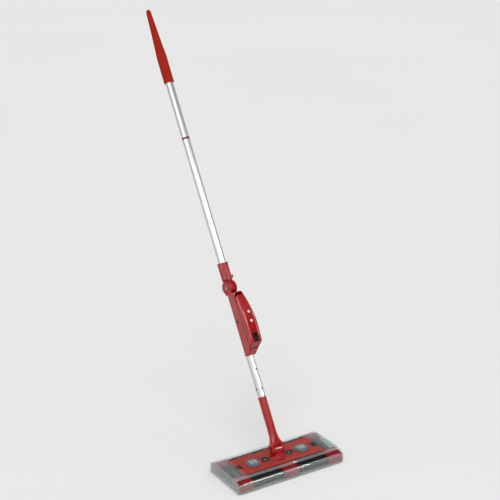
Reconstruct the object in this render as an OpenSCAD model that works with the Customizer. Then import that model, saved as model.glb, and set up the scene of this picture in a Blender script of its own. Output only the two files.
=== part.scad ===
// Cordless carpet sweeper: a clear-topped head with four geared brushes, a swivel foot and a
// folding handle that carries the battery case. Millimetres, +Z up, the origin on the floor
// under the swivel axis at the middle of the head. The front of the head faces -Y.

/* [Head] */
// Length of the head, left to right
head_l = 300; // [288:1:330]
// Depth of the head at its rim, front to back
head_w = 139; // [137:1:150]
// Height of the flat top of the clear cover
cover_top = 31.8; // [31.6:0.2:34]
// Height of the crest where the front slope meets the wall
crest_z = 23.7; // [22:0.1:25]
// How far the flat top stays back from the rim, front and back
top_inset = 20.5; // [18:0.5:21]
// How far the crest stays back from the rim
crest_inset = 2; // [1:0.5:2.5]
// How far the end walls lean in at the top
end_lean = 2.7; // [1:0.1:3]
// Gap between the rim of the cover and the floor
rim_gap = 3; // [2:0.1:3.1]
// Wall of the clear cover
cover_wall = 2.2; // [1.8:0.1:2.4]
// Plan radius of the corners of the cover
cover_corner_r = 9; // [4:0.5:11]
// Thickness of the deck plate
deck_t = 2.5; // [2:0.1:3]
// Height of the deck plate's upper face
deck_top = 28.5; // [28:0.1:29]
// Front edge of the deck, forward of the swivel axis
deck_front = 34; // [30:1:36]
// Rear edge of the deck, behind the swivel axis
deck_rear = 42; // [36:1:43]
// Thickness of the base plate, whose weight keeps the head down under its handle
base_t = 3.3; // [3:0.1:3.4]
// Underside of the base plate above the floor
base_z = 2.4; // [2.4:0.1:2.8]

/* [Brushes] */
// Radius over the bristle tips
brush_r = 13; // [12.5:0.1:13.2]
// Clearance of the bristle tips above the floor, so that the head stands on its wheels
tip_gap = 0.5; // [0.4:0.1:0.7]
// Radius of the moulded core
core_r = 6; // [5:0.1:7]
// Radius of the steel shafts
shaft_r = 3.5; // [2:0.1:3.6]
// Rows of bristles round a core
tuft_rows = 8; // [5:1:9]
// Width of one row of bristles
tuft_w = 2.2; // [1.4:0.1:2.6]
// Turn of the rows along one brush, in degrees
tuft_twist = 120; // [60:10:180]

/* [Drive] */
// Teeth of each bevel gear
bevel_teeth = 12; // [12:1:12]
// Pitch radius of a bevel gear at its large end
bevel_r = 9.6; // [9:0.1:9.8]
// Share of the bevel that is left at its small end
bevel_share = 0.6; // [0.5:0.05:0.7]
// Module of the spur gears
gear_m = 1; // [0.95:0.05:1]
// Width of the spur gears
gear_w = 6; // [5:0.5:6.5]
// Radius of the motor can
motor_r = 10; // [8:0.1:10.2]
// Length of the motor can
motor_l = 32; // [24:1:34]
// Width of the gearbox block between the front brush halves
centre_block_w = 40; // [34:1:50]

/* [Wheels, bins and doors] */
// Radius of a floor wheel
wheel_r = 6; // [5:0.1:6.1]
// Width of a floor wheel
wheel_w = 5; // [4:0.1:5.2]
// Radius of a wheel's stub axle
wheel_pin_r = 1.5; // [1:0.1:1.8]
// Wall of the dust bins
bin_wall = 1.6; // [1.2:0.1:2]
// Thickness of a dust door
door_t = 2; // [1.6:0.1:2.2]
// Radius of a dust door's hinge pin
door_pin_r = 0.9; // [0.7:0.05:0.95]
// Radius of the round release buttons
button_r = 16.8; // [14:0.1:17.5]
// Travel of the release buttons
button_travel = 4; // [3:0.1:4.5]

/* [Swivel foot] */
// Height of the tilt pin above the floor
pivot_z = 48; // [47:0.5:54]
// Width of the foot and of the neck's fork
foot_w = 34; // [30:0.5:38]
// Width of the tongue on the foot
tongue_w = 20.4; // [16:0.2:21]
// Radius of the fork's ears round the pin
ear_r = 9.5; // [8:0.1:9.6]
// Radius of the tilt pin
pin_r = 3; // [2:0.1:4]
// Radius of the swivel hub in the deck
hub_r = 12; // [10:0.1:13]

/* [Neck and tubes] */
// Backward lean of the handle as it stands, in degrees
lean = 32.2; // [31:0.1:33]
// Turn of the tubes and the case about the handle's axis, in degrees
case_turn = 12; // [0:1:15]
// Length of the neck from the pin to its shoulder
neck_l = 129; // [100:1:150]
// Outer radius of the neck's tube
neck_r = 10.2; // [10:0.1:11]
// Outer radius of the aluminium tubes
tube_r = 9.5; // [9.3:0.1:9.7]
// Wall of the aluminium tubes
tube_wall = 0.7; // [0.6:0.1:1.2]
// Length of the lower tube that shows
lower_l = 103; // [80:1:130]
// Length of the middle tube that shows
middle_l = 320; // [200:1:400]
// Length of the upper tube that shows
upper_l = 144; // [100:1:200]
// Length of the ring between the middle and upper tubes
ring_l = 4; // [3:0.5:8]
// Length of a plugged joint inside a tube
plug_l = 24; // [20:1:45]
// Radius of a snap button
snap_r = 2.4; // [2:0.1:2.6]
// How far a snap button stands out of the tube
snap_out = 1.3; // [1:0.1:1.6]

/* [Battery case] */
// Length of the case
case_l = 157; // [150:1:175]
// Reach of the case in front of the handle's axis
case_reach = 44; // [43:0.5:46]
// Half the width of the case at its front
case_half_w = 18.2; // [17.6:0.1:20]
// Radius of the back of the case
case_back_r = 10.6; // [10.6:0.1:12]
// Radius of the front edges of the case
case_edge_r = 4; // [3:0.1:5]
// Wall of the case shells
case_wall = 1.8; // [1.6:0.1:2.2]
// Seam between the shells, in front of the handle's axis
seam_y = 27.5; // [27:0.5:29]
// Radius of a battery cell
cell_r = 7; // [6:0.1:7.2]
// Width of the rocker switch
rocker_w = 13; // [11:0.5:14]
// Length of the rocker switch
rocker_l = 18; // [15:0.5:19]
// Radius of the charging socket's bore
socket_r = 1.8; // [1.2:0.1:2]
// Depth of the charging socket's bore
socket_depth = 9; // [7:0.5:9.5]

/* [Fold joint] */
// Radius of the fold joint's discs
fold_r = 18; // [16:0.5:18]
// Width over the fold joint's discs
fold_w = 22; // [20:0.5:24]
// Radius of the fold pin
fold_pin_r = 4; // [3:0.1:5]
// Radius of the collar above the fold joint
collar_r = 13.5; // [12.5:0.1:14]
// Length of the collar
collar_l = 43; // [36:1:55]

/* [Grip] */
// Length of the grip with its cap
grip_l = 194; // [150:1:220]
// Radius of the grip at its lower end
grip_r = 12.6; // [12:0.1:14]
// Radius of the grip at its cap
grip_tip_r = 6.2; // [5.6:0.1:7]

/* [Hidden] */
$fn = 64;
hull_fn = 32; // facets of the circles inside a hull
run = 0.06; // radial clearance of a shaft that turns in a hole
gap = 0.4; // clearance between pieces that move past each other
eps = 0.01; // overshoot of a cut past the face it opens
red = [0.62, 0.03, 0.03];
dark_red = [0.4, 0.02, 0.03];
black = [0.04, 0.04, 0.045];
steel = [0.7, 0.71, 0.73];

// Brush axes, just inside the rim of the cover
axle_z = brush_r + tip_gap;
brush_y = head_w / 2 - brush_r - 6.5;
side_x = head_l / 2 - brush_r - 6;
block_x = side_x - 24; // inner wall of a corner block, across the front brush
block_y = brush_y - 20; // inner wall of a corner block, across the side brush
core_end_x = block_x - 1;
core_end_y = block_y - 1;
// Brush shafts end inside the bevel gears, short of the corner where they would cross
shaft_stop = bevel_r * bevel_share + 1;
flat_y = head_w / 2 - top_inset;
deck_z = deck_top - deck_t;
deck_x = block_x + 7;
base_top = base_z + base_t;
slope = (cover_top - crest_z) / (top_inset - crest_inset);
block_wall = 3;
lug_t = 2; // thickness of a wheel lug

// Spur gears: the drive gear on the front shaft, the idler and the motor pinion
drive_teeth = 18;
idler_teeth = 13;
pinion_teeth = 10;
drive_to_idler = gear_m * (drive_teeth + idler_teeth) / 2 + 0.05;
idler_to_pinion = gear_m * (idler_teeth + pinion_teeth) / 2 + 0.05;
train_tilt = -3; // fall of the gear line from the front shaft to the motor, in degrees
motor_y = -brush_y + (drive_to_idler + idler_to_pinion) * cos(train_tilt);
motor_z = axle_z + (drive_to_idler + idler_to_pinion) * sin(train_tilt);
idler_y = -brush_y + drive_to_idler * cos(train_tilt);
idler_z = axle_z + drive_to_idler * sin(train_tilt);
train_wall = 3;
motor_x = gear_w / 2 + 1.2 + train_wall + 0.3;

// Dust bins, doors and wheels
bin_in = 45;
bin_out = block_x - 2;
bin_y = min(block_y + 1, brush_y - brush_r - 4);
door_barrel_r = 2;
door_axis_x = bin_in + bin_wall + door_barrel_r + gap;
door_axis_z = base_z + base_t / 2;
door_y = bin_y - 2.4;
wheel_x = block_x + block_wall + lug_t + gap + wheel_w / 2;
wheel_y = brush_y + 9;
button_cup_r = button_r + gap;
button_room = 4.7; // from a bin's inner wall to the cup of its button
button_x = bin_in + bin_wall + button_cup_r + button_room;
button_cup_z = deck_z - 7.5; // inner floor of a button's cup
button_top = cover_top + 1.2;
button_low = button_cup_z + button_travel + 1.6;
button_stem_r = 4;
well_x = 33.5;
well_r = 9.5;
foot_open_r = sqrt(pow(foot_w / 2, 2) + pow(ear_r + 2, 2)) + 1;

// Handle: distances along its axis from the tilt pin
tube_in = tube_r - tube_wall;
case_start = neck_l + lower_l;
case_end = case_start + case_l;
fold_s = case_end + fold_r - 2.5;
collar_start = fold_s + fold_r + 0.6;
collar_end = collar_start + collar_l;
middle_start = collar_start + 16;
ring_start = collar_end + middle_l;
upper_start = ring_start + ring_l;
grip_start = upper_start + upper_l;
lower_end = case_start + 26;
neck_snap_s = neck_l + 20;
snap_pitch = 48;
tube_snap_s = neck_snap_s + snap_pitch;

// Stations of the case: share of its length and reach of its front, and the same for its half width
case_reaches = [[0, case_back_r + 1], [0.17, case_reach - 3], [0.62, case_reach],
    [0.75, case_reach - 5.5], [1, case_reach - 19]];
case_widths = [[0, case_back_r], [0.17, case_half_w], [0.75, case_half_w], [1, case_half_w - 3.2]];

// Places on the case, as shares of its length
rocker_u = 0.245;
lens_u = [0.5, 0.645];
panel_u = [0.175, 0.615];
board_u = [0.37, 0.62];
panel_half_w = 11.6;
lens_side = 5.6;
socket_s = case_start + 0.545 * case_l;
socket_y = 7;
socket_out_r = 3.5;
switch_depth = 13;
rocker_tilt = 7; // tilt of the rocker from its middle, each way, in degrees
rear_cell_y = case_back_r - case_wall - cell_r - 0.1;
cell_l = socket_s - socket_out_r - lower_end - 8; // a pair of cells fills the room below the socket
past = 2 * case_l; // reach of a cut beyond the case
board_y = case_reach - case_wall - 4;

// Release button of the fold joint
release_w = 8;
release_s = collar_start + 8;
release_in = 9.8;
release_travel = 2.5;

// Carries a child drawn at the rear right to another side of the head
module to_side(x, y = 1) {
    mirror([x < 0 ? 1 : 0, 0, 0]) mirror([0, y < 0 ? 1 : 0, 0]) children();
}

// The involute of a circle, in degrees
function involute(a) = tan(a) * 180 / PI - a;

// Half the angle that a gear tooth fills at radius r
function tooth_half(n, rp, r, play) =
    let (pressure = 22, rb = rp * cos(pressure))
    90 / n - play / rp * 180 / PI + involute(pressure) - involute(acos(min(1, rb / r)));

// Outline of a gear with n teeth on pitch radius rp; a tooth is centred on +X
module gear_outline(n, rp, root, tip, play) {
    steps = 4;
    polygon([
        for (i = [0 : n - 1], side = [-1, 1], j = [0 : steps])
            let (k = side < 0 ? j : steps - j, r = root + (tip - root) * k / steps)
            let (a = i * 360 / n + side * tooth_half(n, rp, r, play))
            [r * cos(a), r * sin(a)]
    ]);
}

// Spur gear of n teeth with its axis along X, centred on the gear plane
module spur_gear(n, turn, bore_r) {
    rp = gear_m * n / 2;
    rotate([turn, 0, 0])
        rotate([90, 0, 90])
            translate([0, 0, -gear_w / 2])
                linear_extrude(gear_w)
                    difference() {
                        gear_outline(n, rp, rp - 1.15 * gear_m, rp + 0.85 * gear_m, 0.12);
                        circle(r = bore_r);
                    }
}

// Straight bevel gear and its hub on an axis along Z. The point where the two shafts would
// meet is the origin; the teeth narrow towards it and the hub points away from it.
module bevel_gear(turn, hub_l) {
    rp = bevel_r;
    difference() {
        union() {
            rotate([0, 0, turn])
                translate([0, 0, -bevel_r])
                    linear_extrude(bevel_r * (1 - bevel_share), scale = bevel_share)
                        gear_outline(bevel_teeth, rp, rp * 0.85, rp * 1.1, 0.32);
            translate([0, 0, -bevel_r - hub_l])
                cylinder(r = shaft_r + 1.3, h = hub_l);
        }
        translate([0, 0, -bevel_r - hub_l - 1])
            cylinder(r = shaft_r, h = bevel_r + hub_l);
    }
}

// Steel shaft along Z, centred, with chamfered ends
module shaft(half_l) {
    chamfer = 0.5;
    color(steel)
        rotate_extrude()
            polygon([[0, -half_l], [shaft_r - chamfer, -half_l], [shaft_r, -half_l + chamfer],
                [shaft_r, half_l - chamfer], [shaft_r - chamfer, half_l], [0, half_l]]);
}

// Moulded brush core along Z from z0 to z1
module core(z0, z1) {
    color(black)
        translate([0, 0, z0])
            difference() {
                cylinder(r = core_r, h = z1 - z0);
                translate([0, 0, -eps]) cylinder(r = shaft_r, h = z1 - z0 + 2 * eps);
            }
}

// Bristles round a core along Z from z0 to z1: twisted rows on a thin backing
module bristles(z0, z1, hand) {
    length = z1 - z0;
    back_r = core_r + 1;
    color([0.12, 0.12, 0.13])
        translate([0, 0, z0])
            linear_extrude(length, twist = hand * tuft_twist * length / 100, slices = ceil(length / 9),
                    $fn = 2 * tuft_rows)
                difference() {
                    union() {
                        circle(r = back_r, $fn = 2 * tuft_rows);
                        for (i = [0 : tuft_rows - 1])
                            rotate((i + 0.5) * 360 / tuft_rows)
                                translate([back_r - 1, -tuft_w / 2])
                                    square([sqrt(pow(brush_r, 2) - pow(tuft_w / 2, 2)) - back_r + 1, tuft_w]);
                    }
                    circle(r = (core_r + 0.02) / cos(90 / tuft_rows), $fn = 2 * tuft_rows);
                }
}

// Puts a child whose axis is Z on the line of a cross brush, its +Z towards +X
module on_cross_brush(y) {
    translate([0, y, axle_z]) rotate([90, 0, 90]) children();
}

// Puts a child whose axis is Z on the line of a side brush, its +Z towards +Y
module on_side_brush(x) {
    translate([x, 0, axle_z]) rotate([-90, 0, 0]) children();
}

// Space under the clear cover, drawn back from its outer surface by d
module under_cover(d) {
    slant = d * sqrt(1 + slope * slope);
    half_w = head_w / 2 - d;
    crest_y = half_w - crest_inset;
    crest = cover_top - slant - slope * (crest_y - flat_y);
    flat_top = cover_top - d;
    flat_half = flat_y - (slant - d) / slope;
    half_l = head_l / 2 - d;
    corner = max(cover_corner_r - d, 1);
    low = d > 0 ? -5 : rim_gap;
    intersection() {
        rotate([90, 0, 90])
            translate([0, 0, -head_l])
                linear_extrude(2 * head_l)
                    polygon([[-half_w, low], [-half_w, rim_gap], [-crest_y, crest], [-flat_half, flat_top],
                        [flat_half, flat_top], [crest_y, crest], [half_w, rim_gap], [half_w, low]]);
        rotate([90, 0, 0])
            translate([0, 0, -head_w])
                linear_extrude(2 * head_w)
                    polygon([[-half_l, low], [-half_l + end_lean, flat_top],
                        [half_l - end_lean, flat_top], [half_l, low]]);
        translate([0, 0, low])
            linear_extrude(flat_top - low) {
                square([2 * half_l, 2 * (half_w - corner)], center = true);
                square([2 * (half_l - corner), 2 * half_w], center = true);
                for (x = [-1, 1], y = [-1, 1])
                    translate([x * (half_l - corner), y * (half_w - corner)]) circle(r = corner);
            }
    }
}

// Clear cover: one thin moulding over the whole head, open below, with holes for the foot,
// the two deck screws and the two release buttons
module top_cover() {
    color([0.9, 0.95, 0.95, 0.3])
        difference() {
            under_cover(0);
            under_cover(cover_wall);
            cylinder(r = foot_open_r, h = cover_top + 1);
            for (side = [-1, 1]) {
                translate([side * well_x, 0, 0]) cylinder(r = well_r, h = cover_top + 1);
                translate([side * button_x, 0, 0]) cylinder(r = button_cup_r, h = cover_top + 1);
            }
        }
}

// Deck: the red plate under the cover, with a bearing for the foot, two button cups,
// two screw bosses, a pointed mark and a notch at each end
module deck() {
    cup_wall = 1.6;
    mid_y = (deck_rear - deck_front) / 2;
    color(red)
        difference() {
            union() {
                translate([-deck_x, -deck_front, deck_z])
                    cube([2 * deck_x, deck_front + deck_rear, deck_t]);
                for (side = [-1, 1]) {
                    translate([side * button_x, 0, button_cup_z - cup_wall])
                        cylinder(r = button_cup_r + cup_wall, h = deck_top - button_cup_z + cup_wall);
                    translate([side * button_x, 0, deck_top])
                        difference() {
                            cylinder(r = button_cup_r + cup_wall, h = 0.6);
                            cylinder(r = button_cup_r, h = 1);
                        }
                    translate([side * well_x, 0, deck_z - 5]) cylinder(r = 4.5, h = 6);
                }
                for (y = [-deck_front, deck_rear - 2])
                    translate([1 - block_x, y, deck_z - 1.2]) cube([2 * block_x - 2, 2, 1.4]);
            }
            translate([0, 0, deck_z - 1]) cylinder(r = hub_r + run, h = deck_t + 2);
            for (side = [-1, 1]) {
                translate([side * button_x, 0, button_cup_z]) cylinder(r = button_cup_r, h = 20);
                translate([side * button_x, 0, button_cup_z - cup_wall - 1])
                    cylinder(r = button_stem_r + run + 0.1, h = 4);
                translate([side * well_x, 0, deck_z - 6]) cylinder(r = 1.5, h = 12);
                translate([side * (deck_x - 7.5), mid_y, deck_top])
                    cube([15 + eps, 20, 2 * (deck_t + 2)], center = true);
                to_side(side)
                    translate([deck_x - 25, mid_y, deck_top - 0.8])
                        linear_extrude(1) polygon([[0, 0], [8, 6], [8, -6]]);
            }
        }
}

// Base plate: carries the blocks and bins, and is open for the brushes, gears and doors
module base_frame() {
    half_l = head_l / 2 - cover_wall - 0.5;
    half_w = head_w / 2 - cover_wall - 0.6;
    brush_in = brush_y - brush_r - 1;
    brush_out = brush_y + brush_r + 1;
    side_in = side_x - brush_r - 1;
    cut_h = base_t + 2;
    color(dark_red) {
        difference() {
            intersection() {
                translate([-half_l, -half_w, base_z]) cube([2 * half_l, 2 * half_w, base_t]);
                under_cover(cover_wall + 0.3);
            }
            translate([0, 0, base_z - 1]) {
                for (side = [-1, 1]) {
                    translate([side > 0 ? centre_block_w / 2 : -block_x, -brush_out, 0])
                        cube([block_x - centre_block_w / 2, brush_out - brush_in, cut_h]);
                    to_side(side) {
                        translate([side_in, -block_y, 0])
                            cube([2 * brush_r + 2, 2 * block_y, cut_h]);
                        translate([bin_in + bin_wall, bin_wall - bin_y, 0])
                            cube([bin_out - bin_in - 2 * bin_wall, 2 * (bin_y - bin_wall), cut_h]);
                        for (y = [-1, 1])
                            to_side(1, y)
                                translate([block_x + block_wall, block_y + block_wall, 0])
                                    cube([half_l - 4 - block_x - block_wall,
                                        wheel_y + wheel_r + gap - block_y - block_wall, cut_h]);
                    }
                }
                translate([-block_x, brush_in, 0]) cube([2 * block_x, brush_out - brush_in, cut_h]);
                translate([-gear_w / 2 - 1.2, -brush_out + 3, 0])
                    cube([gear_w + 2.4, brush_out - 3 + idler_y + 8, cut_h]);
            }
            for (side = [-1, 1], y = [-1, 1])
                translate([side * door_axis_x, y * (bin_y - bin_wall - 0.5), door_axis_z])
                    rotate([-90 * y, 0, 0]) cylinder(r = door_pin_r + run, h = 4);
            translate([motor_x, motor_y, motor_z])
                rotate([0, 90, 0]) cylinder(r = motor_r, h = motor_l);
        }
        for (x = [motor_x + 5, motor_x + motor_l - 8])
            difference() {
                translate([x, motor_y - 7, base_top]) cube([3, 14, 3]);
                translate([x - 1, motor_y, motor_z])
                    rotate([0, 90, 0]) cylinder(r = motor_r, h = 5);
            }
    }
}

// Corner block: an open-bottomed red housing round one pair of bevel gears, with bearings
// for the two brush shafts and two lugs for the wheel. Drawn at the rear right.
module corner_block_shape() {
    roof_gap = 1.2;
    intersection() {
        under_cover(cover_wall + gap);
        union() {
            difference() {
                translate([block_x, block_y, base_top])
                    cube([head_l / 2 - block_x, head_w / 2 - block_y, deck_z - base_top]);
                intersection() {
                    under_cover(cover_wall + gap + roof_gap);
                    translate([block_x + block_wall, block_y + block_wall, -1])
                        cube([head_l / 2 - block_x - 2 * block_wall - 1.4,
                            head_w, deck_z - roof_gap + 1]);
                }
            }
            for (x = [wheel_x - wheel_w / 2 - gap - lug_t, wheel_x + wheel_w / 2 + gap])
                translate([x, wheel_y - 2.6, base_z]) cube([lug_t, 5.2, deck_z - base_z - 1]);
        }
    }
}

module corner_block(x_side, y_side) {
    color(red)
        to_side(x_side, y_side)
            difference() {
                corner_block_shape();
                on_cross_brush(brush_y) translate([0, 0, block_x - 1])
                    cylinder(r = shaft_r + run, h = block_wall + 2);
                on_side_brush(side_x) translate([0, 0, block_y - 1])
                    cylinder(r = shaft_r + run, h = block_wall + 2);
                on_cross_brush(brush_y) translate([0, 0, block_x + block_wall])
                    cylinder(r = shaft_r + 1.3 + gap, h = 20);
                translate([block_x - 1, wheel_y, wheel_r]) rotate([0, 90, 0])
                    cylinder(r = wheel_pin_r + run, h = side_x - block_x - 6);
            }
}

// Centre block: the red gearbox between the halves of the front brush. It holds the shaft
// bearing, the idler's pin and the motor's face.
module centre_block() {
    room = gear_w / 2 + 1.2;
    wall_x = room + train_wall;
    back_y = motor_y + gear_m * (pinion_teeth / 2 + 1) + 3;
    housing_top = deck_z - 3;
    color(red)
        difference() {
            union() {
                difference() {
                    intersection() {
                        union() {
                            translate([-centre_block_w / 2, -head_w / 2, base_top])
                                cube([centre_block_w, head_w / 2 - brush_y + brush_r + 1, deck_z - base_top]);
                            translate([-wall_x, -brush_y, base_top])
                                cube([2 * wall_x, brush_y + back_y, housing_top - base_top]);
                        }
                        under_cover(cover_wall + gap);
                    }
                    intersection() {
                        translate([-room, -head_w / 2, -1])
                            cube([2 * room, head_w / 2 - brush_y + drive_teeth / 2 + 2, deck_z - 0.2]);
                        under_cover(cover_wall + gap + 1.6);
                    }
                    translate([-room, -brush_y, -1]) cube([2 * room, brush_y + back_y - 2, housing_top - 1]);
                }
                translate([-room - 1, idler_y, idler_z])
                    rotate([0, 90, 0]) cylinder(r = wheel_pin_r, h = 2 * room + 2);
            }
            on_cross_brush(-brush_y) translate([0, 0, -centre_block_w])
                cylinder(r = shaft_r + run, h = 2 * centre_block_w);
            translate([room - 1, motor_y, motor_z])
                rotate([0, 90, 0]) cylinder(r = 2.2, h = train_wall + 2);
        }
}

// Motor: a steel can against the gearbox wall, with a bore for the pinion's shaft
module motor() {
    color(steel)
        translate([motor_x, motor_y, motor_z])
            rotate([0, 90, 0])
                difference() {
                    union() {
                        cylinder(r = motor_r, h = motor_l - 2);
                        cylinder(r = motor_r * 0.45, h = motor_l);
                    }
                    translate([0, 0, -eps]) cylinder(r = 1.5 + run, h = 10);
                }
}

// Dust bins: two open frames under the deck; the brushes throw the dirt in over the low walls
module dust_bins() {
    low = 7;
    color(dark_red)
        for (side = [-1, 1])
            to_side(side)
                translate([bin_in, -bin_y, base_top])
                    difference() {
                        cube([bin_out - bin_in, 2 * bin_y, deck_z - base_top]);
                        translate([bin_wall, bin_wall, -1])
                            cube([bin_out - bin_in - 2 * bin_wall, 2 * (bin_y - bin_wall), deck_z]);
                        translate([bin_wall, -1, low])
                            cube([bin_out - bin_in - 2 * bin_wall, 2 * bin_y + 2, deck_z]);
                    }
}

// Pan-head screw with a crossed slot, head up, its seat at the origin
module pan_screw(head_r, length) {
    difference() {
        union() {
            cylinder(r1 = head_r, r2 = head_r * 0.75, h = 1.4);
            translate([0, 0, -length]) cylinder(r = 1.5, h = length);
        }
        for (a = [0, 90])
            rotate(a) translate([-head_r, -0.35, 0.8]) cube([2 * head_r, 0.7, 1]);
    }
}

// Screws: one in each well of the deck
module head_screws() {
    color(steel)
        for (side = [-1, 1]) translate([side * well_x, 0, deck_top]) pan_screw(3.4, 7);
}

// Brush that lies along the front, between the corner blocks and split by the centre block
module front_shaft() {
    on_cross_brush(-brush_y) shaft(side_x - shaft_stop);
}

module front_core() {
    on_cross_brush(-brush_y)
        for (side = [0, 1]) mirror([0, 0, side]) core(centre_block_w / 2 + 1, core_end_x);
}

module front_bristles() {
    on_cross_brush(-brush_y) {
        bristles(centre_block_w / 2 + 2, core_end_x - 1, 1);
        bristles(1 - core_end_x, -centre_block_w / 2 - 2, -1);
    }
}

// Pair of bevel gears on a cross brush, each with a tooth where it meets its neighbour
module cross_bevels(y) {
    color(black)
        on_cross_brush(y)
            for (side = [-1, 1])
                rotate([0, side < 0 ? 180 : 0, 0])
                    translate([0, 0, side_x])
                        bevel_gear(0, side_x - bevel_r - block_x - block_wall - gap);
}

// Pair of bevel gears on a side brush, each with a gap where it meets its neighbour
module side_bevels(x) {
    color(black)
        on_side_brush(x)
            for (side = [-1, 1])
                rotate([0, side < 0 ? 180 : 0, 0])
                    translate([0, 0, brush_y])
                        bevel_gear(180 / bevel_teeth, brush_y - bevel_r - block_y - block_wall - gap);
}

module front_gears() {
    cross_bevels(-brush_y);
    color(black)
        translate([0, -brush_y, axle_z]) spur_gear(drive_teeth, train_tilt, shaft_r);
}

module rear_shaft() {
    on_cross_brush(brush_y) shaft(side_x - shaft_stop);
}

module rear_core() {
    on_cross_brush(brush_y) core(-core_end_x, core_end_x);
}

module rear_bristles() {
    on_cross_brush(brush_y) {
        bristles(1, core_end_x - 1, 1);
        bristles(1 - core_end_x, -1, -1);
    }
}

module rear_gears() {
    cross_bevels(brush_y);
}

module side_shaft(side) {
    on_side_brush(side * side_x) shaft(brush_y - shaft_stop);
}

module side_core(side) {
    on_side_brush(side * side_x) core(-core_end_y, core_end_y);
}

module side_bristles(side) {
    on_side_brush(side * side_x) bristles(1 - core_end_y, core_end_y - 1, side);
}

// Motor pinion with its shaft
module motor_pinion() {
    color(steel)
        translate([0, motor_y, motor_z]) {
            spur_gear(pinion_teeth, 180 + train_tilt + 180 / pinion_teeth, 1.4);
            translate([-gear_w / 2, 0, 0]) rotate([0, 90, 0]) cylinder(r = 1.5, h = motor_x + gear_w / 2 + 9);
        }
}

// Idler between the pinion and the drive gear
module idler_gear() {
    color(black)
        translate([0, idler_y, idler_z])
            spur_gear(idler_teeth, train_tilt, wheel_pin_r + run);
}

// Floor wheel with its stub axles
module wheel(x_side, y_side) {
    color(black)
        translate([x_side * wheel_x, y_side * wheel_y, wheel_r])
            rotate([0, 90, 0]) {
                rotate_extrude()
                    polygon([[0, -wheel_w / 2], [wheel_r - 0.6, -wheel_w / 2], [wheel_r, -wheel_w / 2 + 0.6],
                        [wheel_r, wheel_w / 2 - 0.6], [wheel_r - 0.6, wheel_w / 2], [0, wheel_w / 2]]);
                cylinder(r = wheel_pin_r, h = wheel_w + 2 * (gap + 1.6), center = true);
            }
}

// Dust door: a flap under one bin, hinged at its inner edge
module dust_door(side) {
    free_x = bin_out - bin_wall - gap;
    color(dark_red)
        to_side(side) {
            translate([door_axis_x, -door_y, door_axis_z - door_t / 2])
                cube([free_x - door_axis_x, 2 * door_y, door_t]);
            translate([door_axis_x, 0, door_axis_z])
                rotate([90, 0, 0]) {
                    cylinder(r = door_barrel_r - 0.4, h = 2 * door_y, center = true);
                    cylinder(r = door_pin_r, h = 2 * (bin_y + 1), center = true);
                }
            for (x = [door_axis_x + 12 : 12 : free_x - 4])
                translate([x, -door_y + 3, door_axis_z]) cube([1.2, 2 * door_y - 6, door_t / 2 + 1.5]);
        }
}

// Round release button over one bin: a cap with three finger ribs and a stem
module release_button(side) {
    ribs = 3;
    color([0.45, 0.52, 0.53])
        translate([side * button_x, 0, 0])
            difference() {
                union() {
                    translate([0, 0, button_low]) cylinder(r = button_r, h = button_top - button_low - 0.8);
                    translate([0, 0, button_top - 0.8])
                        cylinder(r1 = button_r, r2 = button_r - 0.8, h = 0.8);
                    translate([0, 0, button_low - 12]) cylinder(r = button_stem_r, h = 13);
                    for (i = [0 : ribs - 1])
                        translate([(i - (ribs - 1) / 2) * 7 - 1, -8, button_top]) cube([2, 16, 1]);
                }
                translate([0, 0, button_low - eps])
                    difference() {
                        cylinder(r = button_r - 1.8, h = button_top - button_low - 1.8);
                        cylinder(r = button_stem_r, h = 20);
                    }
            }
}

// Swivel foot: a turntable with a hub in the deck, a low block and the tongue of the tilt hinge
module swivel_foot() {
    disc_r = foot_open_r - 0.5;
    block_top = pivot_z - ear_r - 0.5;
    block_front = ear_r + 1.5;
    color(red)
        difference() {
            union() {
                translate([0, 0, deck_top + 0.2]) cylinder(r = disc_r, h = cover_top + 1 - deck_top - 0.2);
                translate([0, 0, deck_z - 0.3]) cylinder(r = hub_r, h = deck_t + 1);
                translate([-foot_w / 2, -block_front, deck_top + 2])
                    cube([foot_w, 2 * block_front - 3, block_top - deck_top - 2]);
                translate([-tongue_w / 2, -ear_r + 0.5, block_top - 1])
                    cube([tongue_w, 2 * ear_r - 1, pivot_z - block_top + 1]);
                translate([0, 0, pivot_z]) rotate([0, 90, 0])
                    cylinder(r = ear_r - 0.5, h = tongue_w, center = true);
            }
            translate([0, 0, pivot_z]) rotate([0, 90, 0]) cylinder(r = pin_r, h = foot_w, center = true);
            translate([0, 0, deck_z - 1]) cylinder(r = hub_r - 5, h = deck_t + 2);
        }
}

// Retainer: the washer under the hub that keeps the foot in the deck
module foot_retainer() {
    washer_t = 2;
    color(steel)
        difference() {
            translate([0, 0, deck_z - 0.3 - washer_t]) cylinder(r = hub_r + 5, h = washer_t);
            translate([0, 0, deck_z - 5]) cylinder(r = hub_r - 5, h = 10);
        }
}

// Tilt pin: fixed in the foot's tongue, turning in the neck's ears
module neck_pin() {
    color(steel)
        translate([0, 0, pivot_z])
            rotate([0, 90, 0]) cylinder(r = pin_r, h = foot_w - 1, center = true);
}

// Carries a child from the handle's own axis, +Z along it from the tilt pin, to its leaning place
module along_handle() {
    translate([0, 0, pivot_z]) rotate([-lean, 0, 0]) children();
}

// As along_handle, turned so that the child's -Y is the front of the case
module on_case() {
    along_handle() rotate([0, 0, case_turn]) children();
}

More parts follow.
